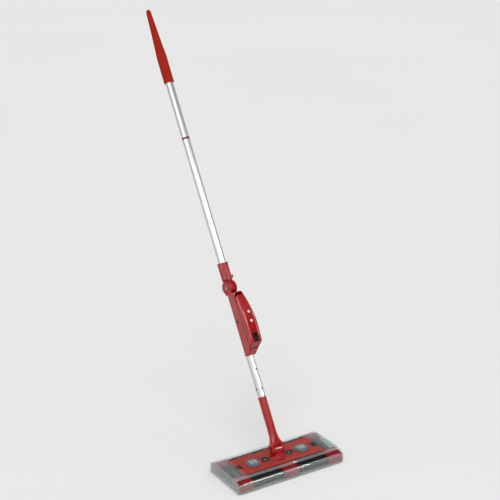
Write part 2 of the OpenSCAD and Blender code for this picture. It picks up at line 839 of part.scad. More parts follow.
// Neck: a fork that widens from the tube to the two ears of the tilt hinge
module neck() {
    ear_in = tongue_w / 2 + 0.3;
    crotch = ear_r + 1;
    flare_end = 46;
    color(red)
        along_handle()
            difference() {
                union() {
                    hull() {
                        translate([-foot_w / 2, -ear_r, crotch - 2]) cube([foot_w, 2 * ear_r, 5]);
                        translate([0, 0, flare_end]) cylinder(r = neck_r, h = 1, $fn = hull_fn);
                    }
                    translate([-foot_w / 2, -ear_r, 0]) cube([foot_w, 2 * ear_r, crotch]);
                    rotate([0, 90, 0]) cylinder(r = ear_r, h = foot_w, center = true);
                    translate([0, 0, flare_end]) cylinder(r = neck_r, h = neck_l - flare_end);
                    translate([0, 0, neck_l - 1]) cylinder(r = tube_in - 0.02, h = plug_l + 1);
                }
                translate([-ear_in, -ear_r - 5, -ear_r - 1]) cube([2 * ear_in, 2 * ear_r + 10, ear_r + 1 + crotch]);
                rotate([0, 90, 0]) cylinder(r = pin_r + run, h = foot_w + 2, center = true);
                translate([0, 0, crotch - 1]) cylinder(r = tube_in - 4.2, h = neck_l + plug_l);
                rotate([0, 0, case_turn]) neck_snap_bores();
            }
}

// Bores for the two snap buttons in the neck's plug
module neck_snap_bores() {
    for (a = [0, -90])
        translate([0, 0, neck_snap_s]) rotate([90, 0, a]) cylinder(r = snap_r + run, h = tube_r + 2);
}

// Snap button: a domed pin that stands out of the tube. Drawn along +Z from the tube's axis.
module snap_button(inner) {
    color(steel) {
        translate([0, 0, inner]) cylinder(r = snap_r, h = tube_r - inner);
        translate([0, 0, tube_r - eps]) cylinder(r1 = snap_r, r2 = snap_r * 0.55, h = snap_out);
    }
}

module neck_snap_button(a) {
    on_case() translate([0, 0, neck_snap_s]) rotate([90, 0, a]) snap_button(tube_in - 3.4);
}

module tube_snap_button() {
    on_case() translate([0, 0, tube_snap_s]) rotate([90, 0, 0]) snap_button(tube_in - 3.4);
}

// Plain aluminium tube along the handle from s0 to s1
module tube(s0, s1, snaps) {
    color([0.78, 0.79, 0.8])
        on_case()
            difference() {
                translate([0, 0, s0])
                    difference() {
                        cylinder(r = tube_r, h = s1 - s0);
                        translate([0, 0, -eps]) cylinder(r = tube_in, h = s1 - s0 + 2 * eps);
                    }
                for (p = snaps)
                    translate([0, 0, p[0]]) rotate([90, 0, p[1]]) cylinder(r = snap_r + run, h = tube_r + 2);
            }
}

module lower_tube() {
    tube(neck_l, lower_end, [[neck_snap_s, 0], [neck_snap_s, -90], [tube_snap_s, 0]]);
}

module middle_tube() {
    tube(middle_start, ring_start, []);
}

// Ring: a red collar with plugs that joins the middle and upper tubes
module tube_ring() {
    color(dark_red)
        on_case() {
            translate([0, 0, ring_start]) cylinder(r = tube_r + 0.6, h = ring_l);
            difference() {
                translate([0, 0, ring_start - plug_l]) cylinder(r = tube_in - 0.02, h = 2 * plug_l + ring_l);
                translate([0, 0, ring_start - plug_l - 1])
                    cylinder(r = tube_in - 1.6, h = 2 * plug_l + ring_l + 2);
            }
        }
}

module upper_tube() {
    tube(upper_start, grip_start + 28, []);
}

// Height of a share u of the case's length, drawn in from both ends by d
function case_height(u, d) = case_start + u * case_l + d * (1 - 2 * u);

// Section of the case: a round back, two straight sides that spread, and a flat front
module case_section(d) {
    back = case_back_r - d;
    edge = max(case_edge_r - d, 1);
    centre = [case_half_w - d - edge, edge + d - case_reach];
    // direction of the line that touches both the back and a front edge
    side = atan2(centre[1], centre[0]) + acos((back - edge) / norm(centre));
    normal = [cos(side), sin(side)];
    points = [centre + edge * normal, back * normal];
    circle(r = back);
    for (x = [-1, 1]) translate([x * centre[0], centre[1]]) circle(r = edge);
    polygon([points[0], points[1], [-points[1][0], points[1][1]], [-points[0][0], points[0][1]],
        [-centre[0], centre[1] - edge], [centre[0], centre[1] - edge]]);
}

// Solid of the case drawn in by d: its section, cut to its side view and its front view
module case_solid(d) {
    intersection() {
        translate([0, 0, case_start]) linear_extrude(case_l) case_section(d);
        rotate([90, 0, 90])
            translate([0, 0, -case_half_w])
                linear_extrude(2 * case_half_w)
                    polygon(concat(
                        [[case_back_r, case_height(1, d)], [case_back_r, case_height(0, d)]],
                        [for (p = case_reaches) [d - p[1], case_height(p[0], d)]]));
        rotate([90, 0, 0])
            translate([0, 0, -case_back_r])
                linear_extrude(case_reach + case_back_r)
                    polygon(concat(
                        [for (p = case_widths) [p[1] - d, case_height(p[0], d)]],
                        [for (i = [len(case_widths) - 1 : -1 : 0])
                            let (p = case_widths[i]) [d - p[1], case_height(p[0], d)]]));
    }
}

// Wall of the case: the solid less its hollow
module case_wall_solid() {
    difference() {
        case_solid(0);
        case_solid(case_wall);
    }
}

// Span of the case's front that holds a share u of its length
function case_span(u) = max([for (i = [0 : len(case_reaches) - 2]) case_reaches[i][0] <= u ? i : 0]);

// Reach of the case's front at a share u of its length, and the slope of that span in degrees
function case_front(u) =
    let (i = case_span(u), a = case_reaches[i], b = case_reaches[i + 1])
    [a[1] + (b[1] - a[1]) * (u - a[0]) / (b[0] - a[0]), atan2(b[1] - a[1], (b[0] - a[0]) * case_l)];

// Puts a child on the case's front at a share u of its length: +Z along the surface, -Y outwards
module on_case_front(u) {
    at = case_front(u);
    on_case() translate([0, -at[0], case_start + u * case_l]) rotate([at[1], 0, 0]) children();
}

// Barrel along the line of the charging socket, from x0 to x1 on the left of the case
module socket_barrel(r, x0, x1) {
    translate([-x0, -socket_y, socket_s]) rotate([0, -90, 0]) cylinder(r = r, h = x1 - x0);
}

// Rear shell: the back and sides of the case behind the seam, the sleeve for the lower tube
// and the two outer discs of the fold joint
module case_rear_shell() {
    tongue_room = fold_w - 10;
    web = fold_r * 0.7;
    color(red)
        on_case()
            difference() {
                union() {
                    difference() {
                        case_wall_solid();
                        translate([-past, -seam_y - past, 0]) cube([2 * past, past, case_end + past]);
                    }
                    translate([0, 0, case_start])
                        cylinder(r = case_back_r - 0.05, h = lower_end - case_start);
                    difference() {
                        union() {
                            translate([0, 0, fold_s]) rotate([0, 90, 0])
                                cylinder(r = fold_r, h = fold_w, center = true);
                            translate([-fold_w / 2, -web, case_end - case_wall / 2])
                                cube([fold_w, web + case_back_r - 0.6, fold_s - case_end]);
                        }
                        translate([-past, -past, case_end - case_wall - past]) cube([2 * past, 2 * past, past]);
                        translate([-tongue_room / 2, -fold_r - 5, case_end])
                            cube([tongue_room, 2 * fold_r + 10, 2 * fold_r + 2]);
                    }
                }
                translate([0, 0, case_start - 1]) cylinder(r = tube_r, h = lower_end - case_start + 1);
                translate([0, 0, fold_s]) rotate([0, 90, 0])
                    cylinder(r = fold_pin_r, h = fold_w + 2, center = true);
                socket_barrel(socket_out_r, 0, 30);
            }
}

// Front shell: the face of the case with its sunk panel, the openings for the rocker switch
// and the two indicators, and the posts of the circuit board
module case_front_shell() {
    panel_l = (panel_u[1] - panel_u[0]) * case_l;
    color(red)
        difference() {
            on_case() {
                difference() {
                    case_wall_solid();
                    translate([-past, -seam_y, 0]) cube([2 * past, past, case_end + past]);
                }
                for (u = [0.4, 0.57])
                    translate([0, -case_front(u)[0] + case_wall - 0.3, case_start + u * case_l])
                        rotate([-90, 0, 0]) cylinder(r = 2, h = case_front(u)[0] - case_wall + 0.3 - board_y);
            }
            on_case_front(panel_u[0])
                translate([-panel_half_w, -1, 0]) cube([2 * panel_half_w, 1.7, panel_l]);
            on_case_front(rocker_u)
                cube([rocker_w, 20, rocker_l], center = true);
            for (u = lens_u)
                on_case_front(u) rotate([0, 45, 0]) cube([lens_side, 10, lens_side], center = true);
        }
}

// Battery: two pairs of cells, one pair on each side of the charging socket
module battery_cells() {
    color([0.2, 0.4, 0.25])
        on_case()
            for (s = [lower_end + 2, socket_s + socket_out_r + 2.5], row = [0, 1])
                translate([0, rear_cell_y - row * (2 * cell_r + 0.1), s]) {
                    cylinder(r = cell_r, h = cell_l - 1.5);
                    cylinder(r = cell_r * 0.38, h = cell_l);
                }
}

// Circuit board on its posts, with a lamp behind each indicator
module circuit_board() {
    color([0.1, 0.35, 0.15])
        on_case() {
            translate([-9, -board_y, case_start + board_u[0] * case_l])
                cube([18, 1.2, (board_u[1] - board_u[0]) * case_l]);
            translate([0, -board_y + eps, case_start + lens_u[0] * case_l])
                rotate([90, 0, 0]) cylinder(r = 1.6, h = 2.4);
        }
}

// Body of the rocker switch: a frame on the panel and a deep box behind it
module switch_body() {
    rim = 1.2;
    color(black)
        on_case_front(rocker_u)
            difference() {
                union() {
                    translate([-rocker_w / 2, -0.5, -rocker_l / 2]) cube([rocker_w, switch_depth, rocker_l]);
                    translate([-rocker_w / 2 - rim, -0.6, -rocker_l / 2 - rim])
                        cube([rocker_w + 2 * rim, 1.3, rocker_l + 2 * rim]);
                }
                translate([-rocker_w / 2 + 1.2, -2, -rocker_l / 2 + 1.2])
                    cube([rocker_w - 2.4, 8, rocker_l - 2.4]);
                translate([0, 2.4, 0]) rotate([0, 90, 0]) cylinder(r = 1.05, h = rocker_w - 1, center = true);
            }
}

// Rocker: two slanting halves on a cross pin, pressed in at its lower end
module rocker() {
    half_l = rocker_l / 2 - 1.7;
    half_w = rocker_w / 2 - 1.5;
    color(black)
        on_case_front(rocker_u)
            translate([0, 2.4, 0]) rotate([-rocker_tilt, 0, 0]) {
                translate([-half_w, 0, 0])
                    rotate([90, 0, 90])
                        linear_extrude(2 * half_w)
                            polygon([[-4.4, -half_l], [-3.4, 0], [-4.4, half_l], [0.4, half_l - 2],
                                [1.6, 0], [0.4, 2 - half_l]]);
                rotate([0, 90, 0]) cylinder(r = 1, h = rocker_w - 1.1, center = true);
            }
}

// Indicators: two diamond lenses in the front shell
module indicator_lenses() {
    color([0.95, 0.92, 0.88])
        for (u = lens_u)
            on_case_front(u)
                rotate([0, 45, 0])
                    translate([-lens_side / 2, -0.4, -lens_side / 2]) cube([lens_side, 1.6, lens_side]);
}

// Charging socket: a barrel with a blind bore, open on the left of the case
module charging_socket() {
    mouth = case_back_r + 1.6;
    color(black)
        on_case()
            difference() {
                socket_barrel(socket_out_r, mouth - socket_depth - 2, mouth);
                socket_barrel(socket_r, mouth - socket_depth, mouth + 1);
            }
}

// Fold pin: fixed in the case's discs, turning in the collar's tongue
module fold_pin() {
    color(steel)
        on_case() translate([0, 0, fold_s]) rotate([0, 90, 0]) {
            cylinder(r = fold_pin_r, h = fold_w, center = true);
            cylinder(r = fold_pin_r * 0.6, h = fold_w + 1.2, center = true);
        }
}

// Fold collar: the tongue of the fold joint and the ribbed socket of the middle tube
module fold_collar() {
    tongue_half = (fold_w - 10) / 2 - 0.3;
    tongue_r = fold_r - 3;
    lip = 2.5;
    ribs = 8;
    color(red)
        on_case()
            difference() {
                union() {
                    translate([0, 0, fold_s]) rotate([0, 90, 0])
                        cylinder(r = tongue_r, h = 2 * tongue_half, center = true);
                    translate([-tongue_half, -collar_r * 0.85, fold_s])
                        cube([2 * tongue_half, collar_r * 1.7, collar_start - fold_s + 1]);
                    translate([0, 0, collar_start]) cylinder(r = collar_r - 0.8, h = collar_l);
                    translate([0, 0, collar_end - lip]) cylinder(r = collar_r + 0.5, h = lip);
                    translate([0, 0, collar_start]) cylinder(r = collar_r, h = lip);
                    for (i = [0 : ribs - 1])
                        rotate((i + 0.5) * 360 / ribs)
                            translate([collar_r - 2, -2.2, collar_start]) cube([1.9, 4.4, collar_l - 1]);
                }
                translate([0, 0, middle_start]) cylinder(r = tube_r, h = collar_l);
                translate([0, 0, fold_s]) rotate([0, 90, 0])
                    cylinder(r = fold_pin_r + run, h = fold_w, center = true);
                translate([release_in - release_travel - gap, -release_w / 2 - gap / 2,
                        release_s - release_w / 2 - gap / 2])
                    cube([30, release_w + gap, release_w + gap]);
            }
}

// Release of the fold joint: a square push button in the right side of the collar
module fold_release() {
    color(dark_red)
        on_case()
            translate([release_in, -release_w / 2, release_s - release_w / 2])
                cube([collar_r + 5 - release_in, release_w, release_w]);
}

// Radius of the grip at a share u of its length: straight, then tapering to a round tip
function grip_radius(u) =
    let (waist = 0.36, tip = 0.955, k = (min(u, tip) - waist) / (tip - waist))
    let (r = u < waist ? grip_r : grip_r - (grip_r - grip_tip_r) * pow(k, 0.85))
    u < tip ? r : r * sqrt(max(0.04, 1 - pow((u - tip) / (1 - tip), 2)));

// Grip: a hollow moulding over the end of the upper tube, closed by its round tip
module grip() {
    seat = 28;
    wall = 1.8;
    steps = 40;
    edge = 1.2;
    outer = [for (i = [1 : steps]) [grip_radius(i / steps), i / steps * grip_l]];
    hollow = [for (i = [steps - 5 : -1 : 6]) [grip_radius(i / steps) - wall, i / steps * grip_l]];
    color(red)
        on_case()
            translate([0, 0, grip_start])
                rotate_extrude()
                    polygon(concat(
                        [[tube_r, 0], [grip_r - edge, 0], [grip_r, edge]], outer, [[0, grip_l]],
                        [[0, (steps - 4) / steps * grip_l]], hollow, [[tube_r - 1.2, seat], [tube_r, seat]]));
}

for (side = [-1, 1], end = [-1, 1])
    let (name = str("corner_block_", end < 0 ? "front" : "rear", side < 0 ? "_left" : "_right"))
    corner_block(side, end);
for (side = [-1, 1], end = [-1, 1])
    let (name = str("wheel_", end < 0 ? "front" : "rear", side < 0 ? "_left" : "_right"))
    wheel(side, end);
deck();
base_frame();
centre_block();
motor();
dust_bins();
head_screws();
front_shaft();
front_core();
front_bristles();
front_gears();
rear_shaft();
rear_core();
rear_bristles();
rear_gears();
side_shaft(-1);  // left_shaft
side_core(-1);  // left_core
side_bristles(-1);  // left_bristles
side_bevels(-side_x);  // left_gears
side_shaft(1);  // right_shaft
side_core(1);  // right_core
side_bristles(1);  // right_bristles
side_bevels(side_x);  // right_gears
motor_pinion();
idler_gear();
dust_door(-1);  // dust_door_left
dust_door(1);  // dust_door_right
release_button(-1);  // release_button_left
release_button(1);  // release_button_right
swivel_foot();
foot_retainer();
neck_pin();
neck();
lower_tube();
tube_snap_button();
neck_snap_button(0);  // neck_snap_button_front
neck_snap_button(-90);  // neck_snap_button_side
case_rear_shell();
case_front_shell();
battery_cells();
circuit_board();
switch_body();
rocker();
indicator_lenses();
charging_socket();
fold_pin();
fold_collar();
fold_release();
middle_tube();
tube_ring();
upper_tube();
grip();
top_cover();
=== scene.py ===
"""Looks of a cordless carpet sweeper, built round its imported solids.

Metres, +Z up, the front of the head towards -Y. The handle has a frame of its own: s runs along
it from the tilt pin, x and y lie across it, and y is negative at the front of the battery case.
"""

import math

import bmesh
import bpy
import numpy as np
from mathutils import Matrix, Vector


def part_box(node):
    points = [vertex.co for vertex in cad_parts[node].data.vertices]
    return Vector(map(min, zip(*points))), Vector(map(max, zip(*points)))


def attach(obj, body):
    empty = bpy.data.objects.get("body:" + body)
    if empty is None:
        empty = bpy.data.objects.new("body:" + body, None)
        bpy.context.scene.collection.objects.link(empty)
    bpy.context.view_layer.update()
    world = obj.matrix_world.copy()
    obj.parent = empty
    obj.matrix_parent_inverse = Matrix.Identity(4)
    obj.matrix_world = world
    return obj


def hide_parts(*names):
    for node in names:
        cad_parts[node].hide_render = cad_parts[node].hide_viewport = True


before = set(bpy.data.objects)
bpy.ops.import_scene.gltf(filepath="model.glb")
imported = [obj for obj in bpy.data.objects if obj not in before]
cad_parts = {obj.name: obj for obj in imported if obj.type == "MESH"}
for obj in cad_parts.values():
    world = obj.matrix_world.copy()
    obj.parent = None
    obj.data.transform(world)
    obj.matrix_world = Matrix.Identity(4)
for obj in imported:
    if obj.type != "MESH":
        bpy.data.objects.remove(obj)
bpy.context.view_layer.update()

bl_info = {
    "name": "Carpet Sweeper",
    "version": (1, 0, 0),
    "blender": (4, 5, 0),
    "location": "3D View > Sidebar > Sweeper",
    "description": "Builds the looks of a cordless carpet sweeper round its solids",
    "category": "Object",
}

MM = 0.001
QUARTER = math.pi / 2

# The handle's own frame: where its tilt pin is, how far it leans and how far the case is turned
PIN_Z = 48.0
LEAN = math.radians(32.2)
TURN = math.radians(12.0)
# The handle's lean as a rotation, so that hair lines run along the tubes
TUBE_TURN = (LEAN, 0.0, 0.0)

# Distances along the handle from the tilt pin, in millimetres
NECK_TOP = 129.0
CASE_START = 232.0
CASE_LENGTH = 157.0
CASE_END = CASE_START + CASE_LENGTH
FOLD_S = 404.5
COLLAR_START = 423.1
COLLAR_END = 466.1
RING_START = 786.1
RING_END = 790.1
GRIP_START = 934.1
GRIP_LENGTH = 194.0

# Clear cover, in metres: its wall, its rim, the half depth of its flat top, how near a line is
# taken to lie on a face, and the shortest edge that is rounded
COVER_WALL = 0.0022
COVER_RIM = 0.001
FLAT_TOP_HALF = 0.049
NEAR = 0.0006
SHORTEST_ROUNDED = 0.06

# Share of the moulded edge's rounding on thin pieces
FINE = 0.6

# Edges of the large red mouldings are smooth up to this angle, in degrees
SOFT_ANGLE = 40


def linear_colour(code, alpha=1.0):
    """sRGB hex code to the linear colour that a shader socket takes."""
    channels = np.array([int(code[i : i + 2], 16) for i in (1, 3, 5)]) / 255
    low, high = channels / 12.92, ((channels + 0.055) / 1.055) ** 2.4
    return (*np.where(channels <= 0.04045, low, high).tolist(), alpha)


def length_setting(name, default, description):
    """A length in metres."""
    return bpy.props.FloatProperty(
        name=name, description=description, default=default, unit="LENGTH"
    )


def colour_setting(name, code, description):
    """A colour whose default is an sRGB hex code."""
    return bpy.props.FloatVectorProperty(
        name=name,
        description=description,
        default=linear_colour(code),
        size=4,
        min=0.0,
        max=1.0,
        subtype="COLOR",
    )


class SweeperSizes(bpy.types.PropertyGroup):
    """Sizes of the finish: roundings, ribs and bristles."""

    moulded_edge: length_setting("Moulded edge", 0.0006, "Rounding of moulded pieces")
    cover_edge: length_setting("Cover edge", 0.0045, "Rounding of the clear cover's long edges")
    foot_edge: length_setting("Foot edge", 0.0012, "Rounding of the swivel foot")
    pressed_edge: length_setting("Pressed edge", 0.0003, "Rounding of the pressed plates")
    seam_gap: length_setting("Seam gap", 0.0022, "Gap between the battery case's two shells")
    shell_wall: length_setting("Shell wall", 0.0016, "Wall of the battery case")
    grip_rib_pitch: length_setting("Grip rib pitch", 0.0036, "From one rib of the grip to the next")
    grip_rib_depth: length_setting("Grip rib depth", 0.0005, "Depth of the grip's grooves")
    tuft_pitch: length_setting("Tuft pitch", 0.0026, "From one bristle tuft to the next")
    bristle_width: length_setting("Bristle width", 0.00055, "Width of a bristle's root, so it shows")


class SweeperColours(bpy.types.PropertyGroup):
    """Colours of the finishes."""

    body_red: colour_setting("Body red", "#a91013", "Glossy moulded red of the case, neck and foot")
    # The deck and the blocks are the same red plastic: the deck's brighter red is painted light, and
    # the blocks' darker red is painted shade
    deck_lit_red: colour_setting("Deck red", "#bb2618", "Brighter moulded red of the deck")
    block_shaded_red: colour_setting("Block red", "#9c0f14", "Moulded red of the corner and centre blocks")
    grip_red: colour_setting("Grip red", "#a8220f", "Soft red of the grip")
    dark_red: colour_setting("Dark red", "#7c0f14", "Dark red of the ring, the bins and the release")
    # Painted shade: the dark red of the screw wells' sleeves stands for the shade inside the wells
    well_shade_red: colour_setting("Well red", "#4a0a0c", "Shaded red inside the screw wells")
    plate_grey: colour_setting("Plate grey", "#a4a6aa", "Stoved enamel on the pressed base and doors")
    clear_tint: colour_setting("Clear tint", "#f9fbfb", "Tint of the clear cover")
    clear_haze: colour_setting("Clear haze", "#cfd6d9", "Light scattered by the clear cover")
    button_grey: colour_setting("Button grey", "#5d6c71", "Grey-green of the release buttons")
    nylon_black: colour_setting("Nylon black", "#17171a", "Bristles")
    # Painted sheen: grey patches on the bristles that stand for their highlights
    nylon_sheen_grey: colour_setting("Nylon dust", "#55575c", "Dust-grey lights on the bristles")
    moulded_black: colour_setting("Moulded black", "#141416", "Rocker, cores, gears and wheels")
    tube_silver: colour_setting("Tube silver", "#c9cacc", "Anodised aluminium tubes")
    steel_grey: colour_setting("Steel grey", "#a9aaad", "Pins, screws, shafts and motor")
    # Also the pale of the release buttons' rib tops, which is a painted highlight
    lens_white: colour_setting("Lens white", "#fbf6ee", "Indicator lenses")
    cell_green: colour_setting("Cell green", "#3c7a55", "Wrap of the battery cells")
    board_green: colour_setting("Board green", "#1f6b36", "Circuit board")
    floor_white: colour_setting("Floor white", "#eeeeed", "Plain studio floor")


# ---------------------------------------------------------------- materials


def add_node(tree, kind, values):
    """Adds a shader node. values gives its settings by name and its sockets by name or number: a
    socket takes a number or colour, or a link from an output or from a node's first output."""
    node = tree.nodes.new("ShaderNode" + kind)
    for name, value in values.items():
        if not isinstance(name, int) and name not in node.inputs:
            setattr(node, name, value)
        elif isinstance(value, bpy.types.Node):
            tree.links.new(value.outputs[0], node.inputs[name])
        elif isinstance(value, bpy.types.NodeSocket):
            tree.links.new(value, node.inputs[name])
        else:
            node.inputs[name].default_value = value
    return node


def new_material(name):
    """An empty node material, its tree and its Object coordinates."""
    material = bpy.data.materials.new(name)
    material.use_nodes = True
    tree = material.node_tree
    tree.nodes.clear()
    return material, tree, add_node(tree, "TexCoord", {}).outputs["Object"]


def darker(colour, share):
    """A colour with each channel brought down to a share of itself."""
    return tuple(c * share for c in colour[:3]) + (1.0,)


def moulded_plastic(
    name, colour, roughness, coat, grain_mm, grain_depth_mm, shade=0.82, mirror=0.5
):
    """Injection-moulded plastic: the colour wanders a little with the melt flow, the surface has
    the fine grain of the mould and a slow waviness from the cooling, which bends reflections."""
    flow_size, wave_size, wave_depth = 0.045, 0.022, 0.0004
    material, tree, place = new_material(name)
    flow = add_node(tree, "TexNoise", {"Scale": 1 / flow_size, "Detail": 2.0, "Vector": place})
    spread = add_node(
        tree, "MapRange", {"Value": flow, "From Min": 0.3, "From Max": 0.7, "To Min": 0.55}
    )
    tone = add_node(
        tree,
        "Mix",
        {"data_type": "RGBA", 0: spread, 6: darker(colour, shade), 7: tuple(colour)},
    )
    grain = add_node(
        tree, "TexNoise", {"Scale": 1 / (grain_mm * MM), "Detail": 3.0, "Vector": place}
    )
    wave = add_node(tree, "TexNoise", {"Scale": 1 / wave_size, "Detail": 1.0, "Vector": place})
    slow = add_node(tree, "Bump", {"Strength": 0.35, "Distance": wave_depth, "Height": wave})
    fine = add_node(
        tree,
        "Bump",
        {"Strength": 0.5, "Distance": grain_depth_mm * MM, "Height": grain, "Normal": slow},
    )
    sheen = add_node(
        tree, "MapRange", {"Value": grain, "To Min": roughness * 0.8, "To Max": roughness * 1.25}
    )
    skin = {"Specular IOR Level": mirror, "Coat Weight": coat, "Coat Roughness": 0.06}
    links = {"Base Color": tone.outputs[2], "Roughness": sheen, "Normal": fine}
    shader = add_node(tree, "BsdfPrincipled", skin | links)
    add_node(tree, "OutputMaterial", {"Surface": shader})
    return material


def clear_polystyrene(name, colours, face_haze, wall_haze, end_haze, roughness):
    """Clear polished polystyrene: seen through face on, and mirror-like at a slant by Schlick's
    rule, 0.04 + 0.96 (1 - cos)^5, on its outer side only. A little haze stands for the light
    that the moulding scatters: face_haze on level faces, wall_haze on upright ones, whose mould
    is less polished, and end_haze on the flat top over the end brushes and on the end walls,
    which are scuffed by the fine grit that those brushes throw up. It grows where the eye looks
    along the wall."""
    flow_size, flow_depth, scuff_start, scuff_full = 0.035, 0.0003, 0.106, 0.124
    material, tree, place = new_material(name)
    flow = add_node(tree, "TexNoise", {"Scale": 1 / flow_size, "Detail": 1.0, "Vector": place})
    bump = add_node(tree, "Bump", {"Strength": 0.05, "Distance": flow_depth, "Height": flow})
    slant = add_node(tree, "LayerWeight", {"Blend": 0.5, "Normal": bump}).outputs["Facing"]
    surface = add_node(tree, "NewGeometry", {})
    normal = add_node(tree, "SeparateXYZ", {0: surface.outputs["True Normal"]})
    point = add_node(tree, "SeparateXYZ", {0: place})
    inner = surface.outputs["Backfacing"]

    steep = add_node(tree, "Math", {"operation": "POWER", 0: slant, 1: 5.0})
    mirror = add_node(tree, "Math", {"operation": "MULTIPLY_ADD", 0: steep, 1: 0.96, 2: 0.04})
    outer = add_node(tree, "Math", {"operation": "SUBTRACT", 0: 1.0, 1: inner})
    share = add_node(tree, "Math", {"operation": "MULTIPLY", 0: mirror, 1: outer})

    # How level a face is, how much it faces an end, and how far the point is from the middle
    level, endways, off_middle = (
        add_node(tree, "Math", {"operation": "ABSOLUTE", 0: value})
        for value in (normal.outputs["Z"], normal.outputs["X"], point.outputs["X"])
    )
    cloudy, at_end, on_flat, end_wall = (
        add_node(
            tree,
            "MapRange",
            {"Value": value, "From Min": low, "From Max": high, "To Min": first, "To Max": last},
        )
        for value, low, high, first, last in (
            (level, 0.3, 0.85, wall_haze, face_haze),
            (off_middle, scuff_start, scuff_full, 0.0, end_haze),
            (level, 0.94, 0.99, 0.0, 1.0),
            (endways, 0.7, 0.95, 0.0, end_haze * 1.2),
        )
    )
    scuffed = add_node(
        tree, "Math", {"operation": "MULTIPLY_ADD", 0: at_end, 1: on_flat, 2: cloudy}
    )
    haze = add_node(tree, "Math", {"operation": "ADD", 0: scuffed, 1: end_wall})
    along = add_node(tree, "Math", {"operation": "MULTIPLY_ADD", 0: steep, 1: 0.25, 2: haze})

    through = add_node(tree, "BsdfTransparent", {"Color": tuple(colours.clear_tint)})
    cloud = add_node(tree, "BsdfDiffuse", {"Color": tuple(colours.clear_haze)})
    gloss = add_node(
        tree, "BsdfGlossy", {"Color": (1, 1, 1, 1), "Roughness": roughness, "Normal": bump}
    )
    body = add_node(tree, "MixShader", {0: along, 1: through, 2: cloud})
    whole = add_node(tree, "MixShader", {0: share, 1: body, 2: gloss})
    add_node(tree, "OutputMaterial", {"Surface": whole})
    return material


def brushed_metal(name, colour, roughness, line_mm, length_mm, turn):
    """Drawn or turned metal: hair lines of a fraction of a millimetre run along the piece and
    spread the reflection across it; the tone varies a little from line to line."""
    line_depth = 0.00003
    material, tree, place = new_material(name)
    turned = add_node(tree, "Mapping", {"Rotation": turn, "Vector": place})
    scale = (1 / (line_mm * MM), 1 / (line_mm * MM), 1 / (length_mm * MM))
    along = add_node(tree, "Mapping", {"Scale": scale, "Vector": turned})
    lines = add_node(tree, "TexNoise", {"Scale": 1.0, "Detail": 3.0, "Vector": along})
    tone = add_node(
        tree, "Mix", {"data_type": "RGBA", 0: lines, 6: darker(colour, 0.86), 7: tuple(colour)}
    )
    sheen = add_node(
        tree, "MapRange", {"Value": lines, "To Min": roughness * 0.75, "To Max": roughness * 1.3}
    )
    bump = add_node(tree, "Bump", {"Strength": 0.25, "Distance": line_depth, "Height": lines})
    links = {"Base Color": tone.outputs[2], "Roughness": sheen, "Normal": bump}
    shader = add_node(tree, "BsdfPrincipled", {"Metallic": 1.0} | links)
    add_node(tree, "OutputMaterial", {"Surface": shader})
    return material


def mottled(name, dark, light, patch_mm, detail, skin, spread=(0.0, 1.0, 1.0), peel_mm=None):
    """A material whose colour wanders from dark to light in patches of a size in millimetres.
    spread gives the pattern's values at the ends of the ramp and how light the mix gets, skin
    holds the settings of the surface, and peel_mm is the size of the dimples of sprayed paint."""
    peel_depth = 0.00006
    material, tree, place = new_material(name)
    low, high, most = spread
    patches = add_node(
        tree, "TexNoise", {"Scale": 1 / (patch_mm * MM), "Detail": detail, "Vector": place}
    )
    mix = add_node(
        tree, "MapRange", {"Value": patches, "From Min": low, "From Max": high, "To Max": most}
    )
    tone = add_node(tree, "Mix", {"data_type": "RGBA", 0: mix, 6: dark, 7: light})
    skin = skin | {"Base Color": tone.outputs[2]}
    if peel_mm:
        peel = add_node(
            tree, "TexNoise", {"Scale": 1 / (peel_mm * MM), "Detail": 2.0, "Vector": place}
        )
        bump = add_node(tree, "Bump", {"Strength": 0.4, "Distance": peel_depth, "Height": peel})
        skin["Normal"] = bump
    shader = add_node(tree, "BsdfPrincipled", skin)
    add_node(tree, "OutputMaterial", {"Surface": shader})
    return material


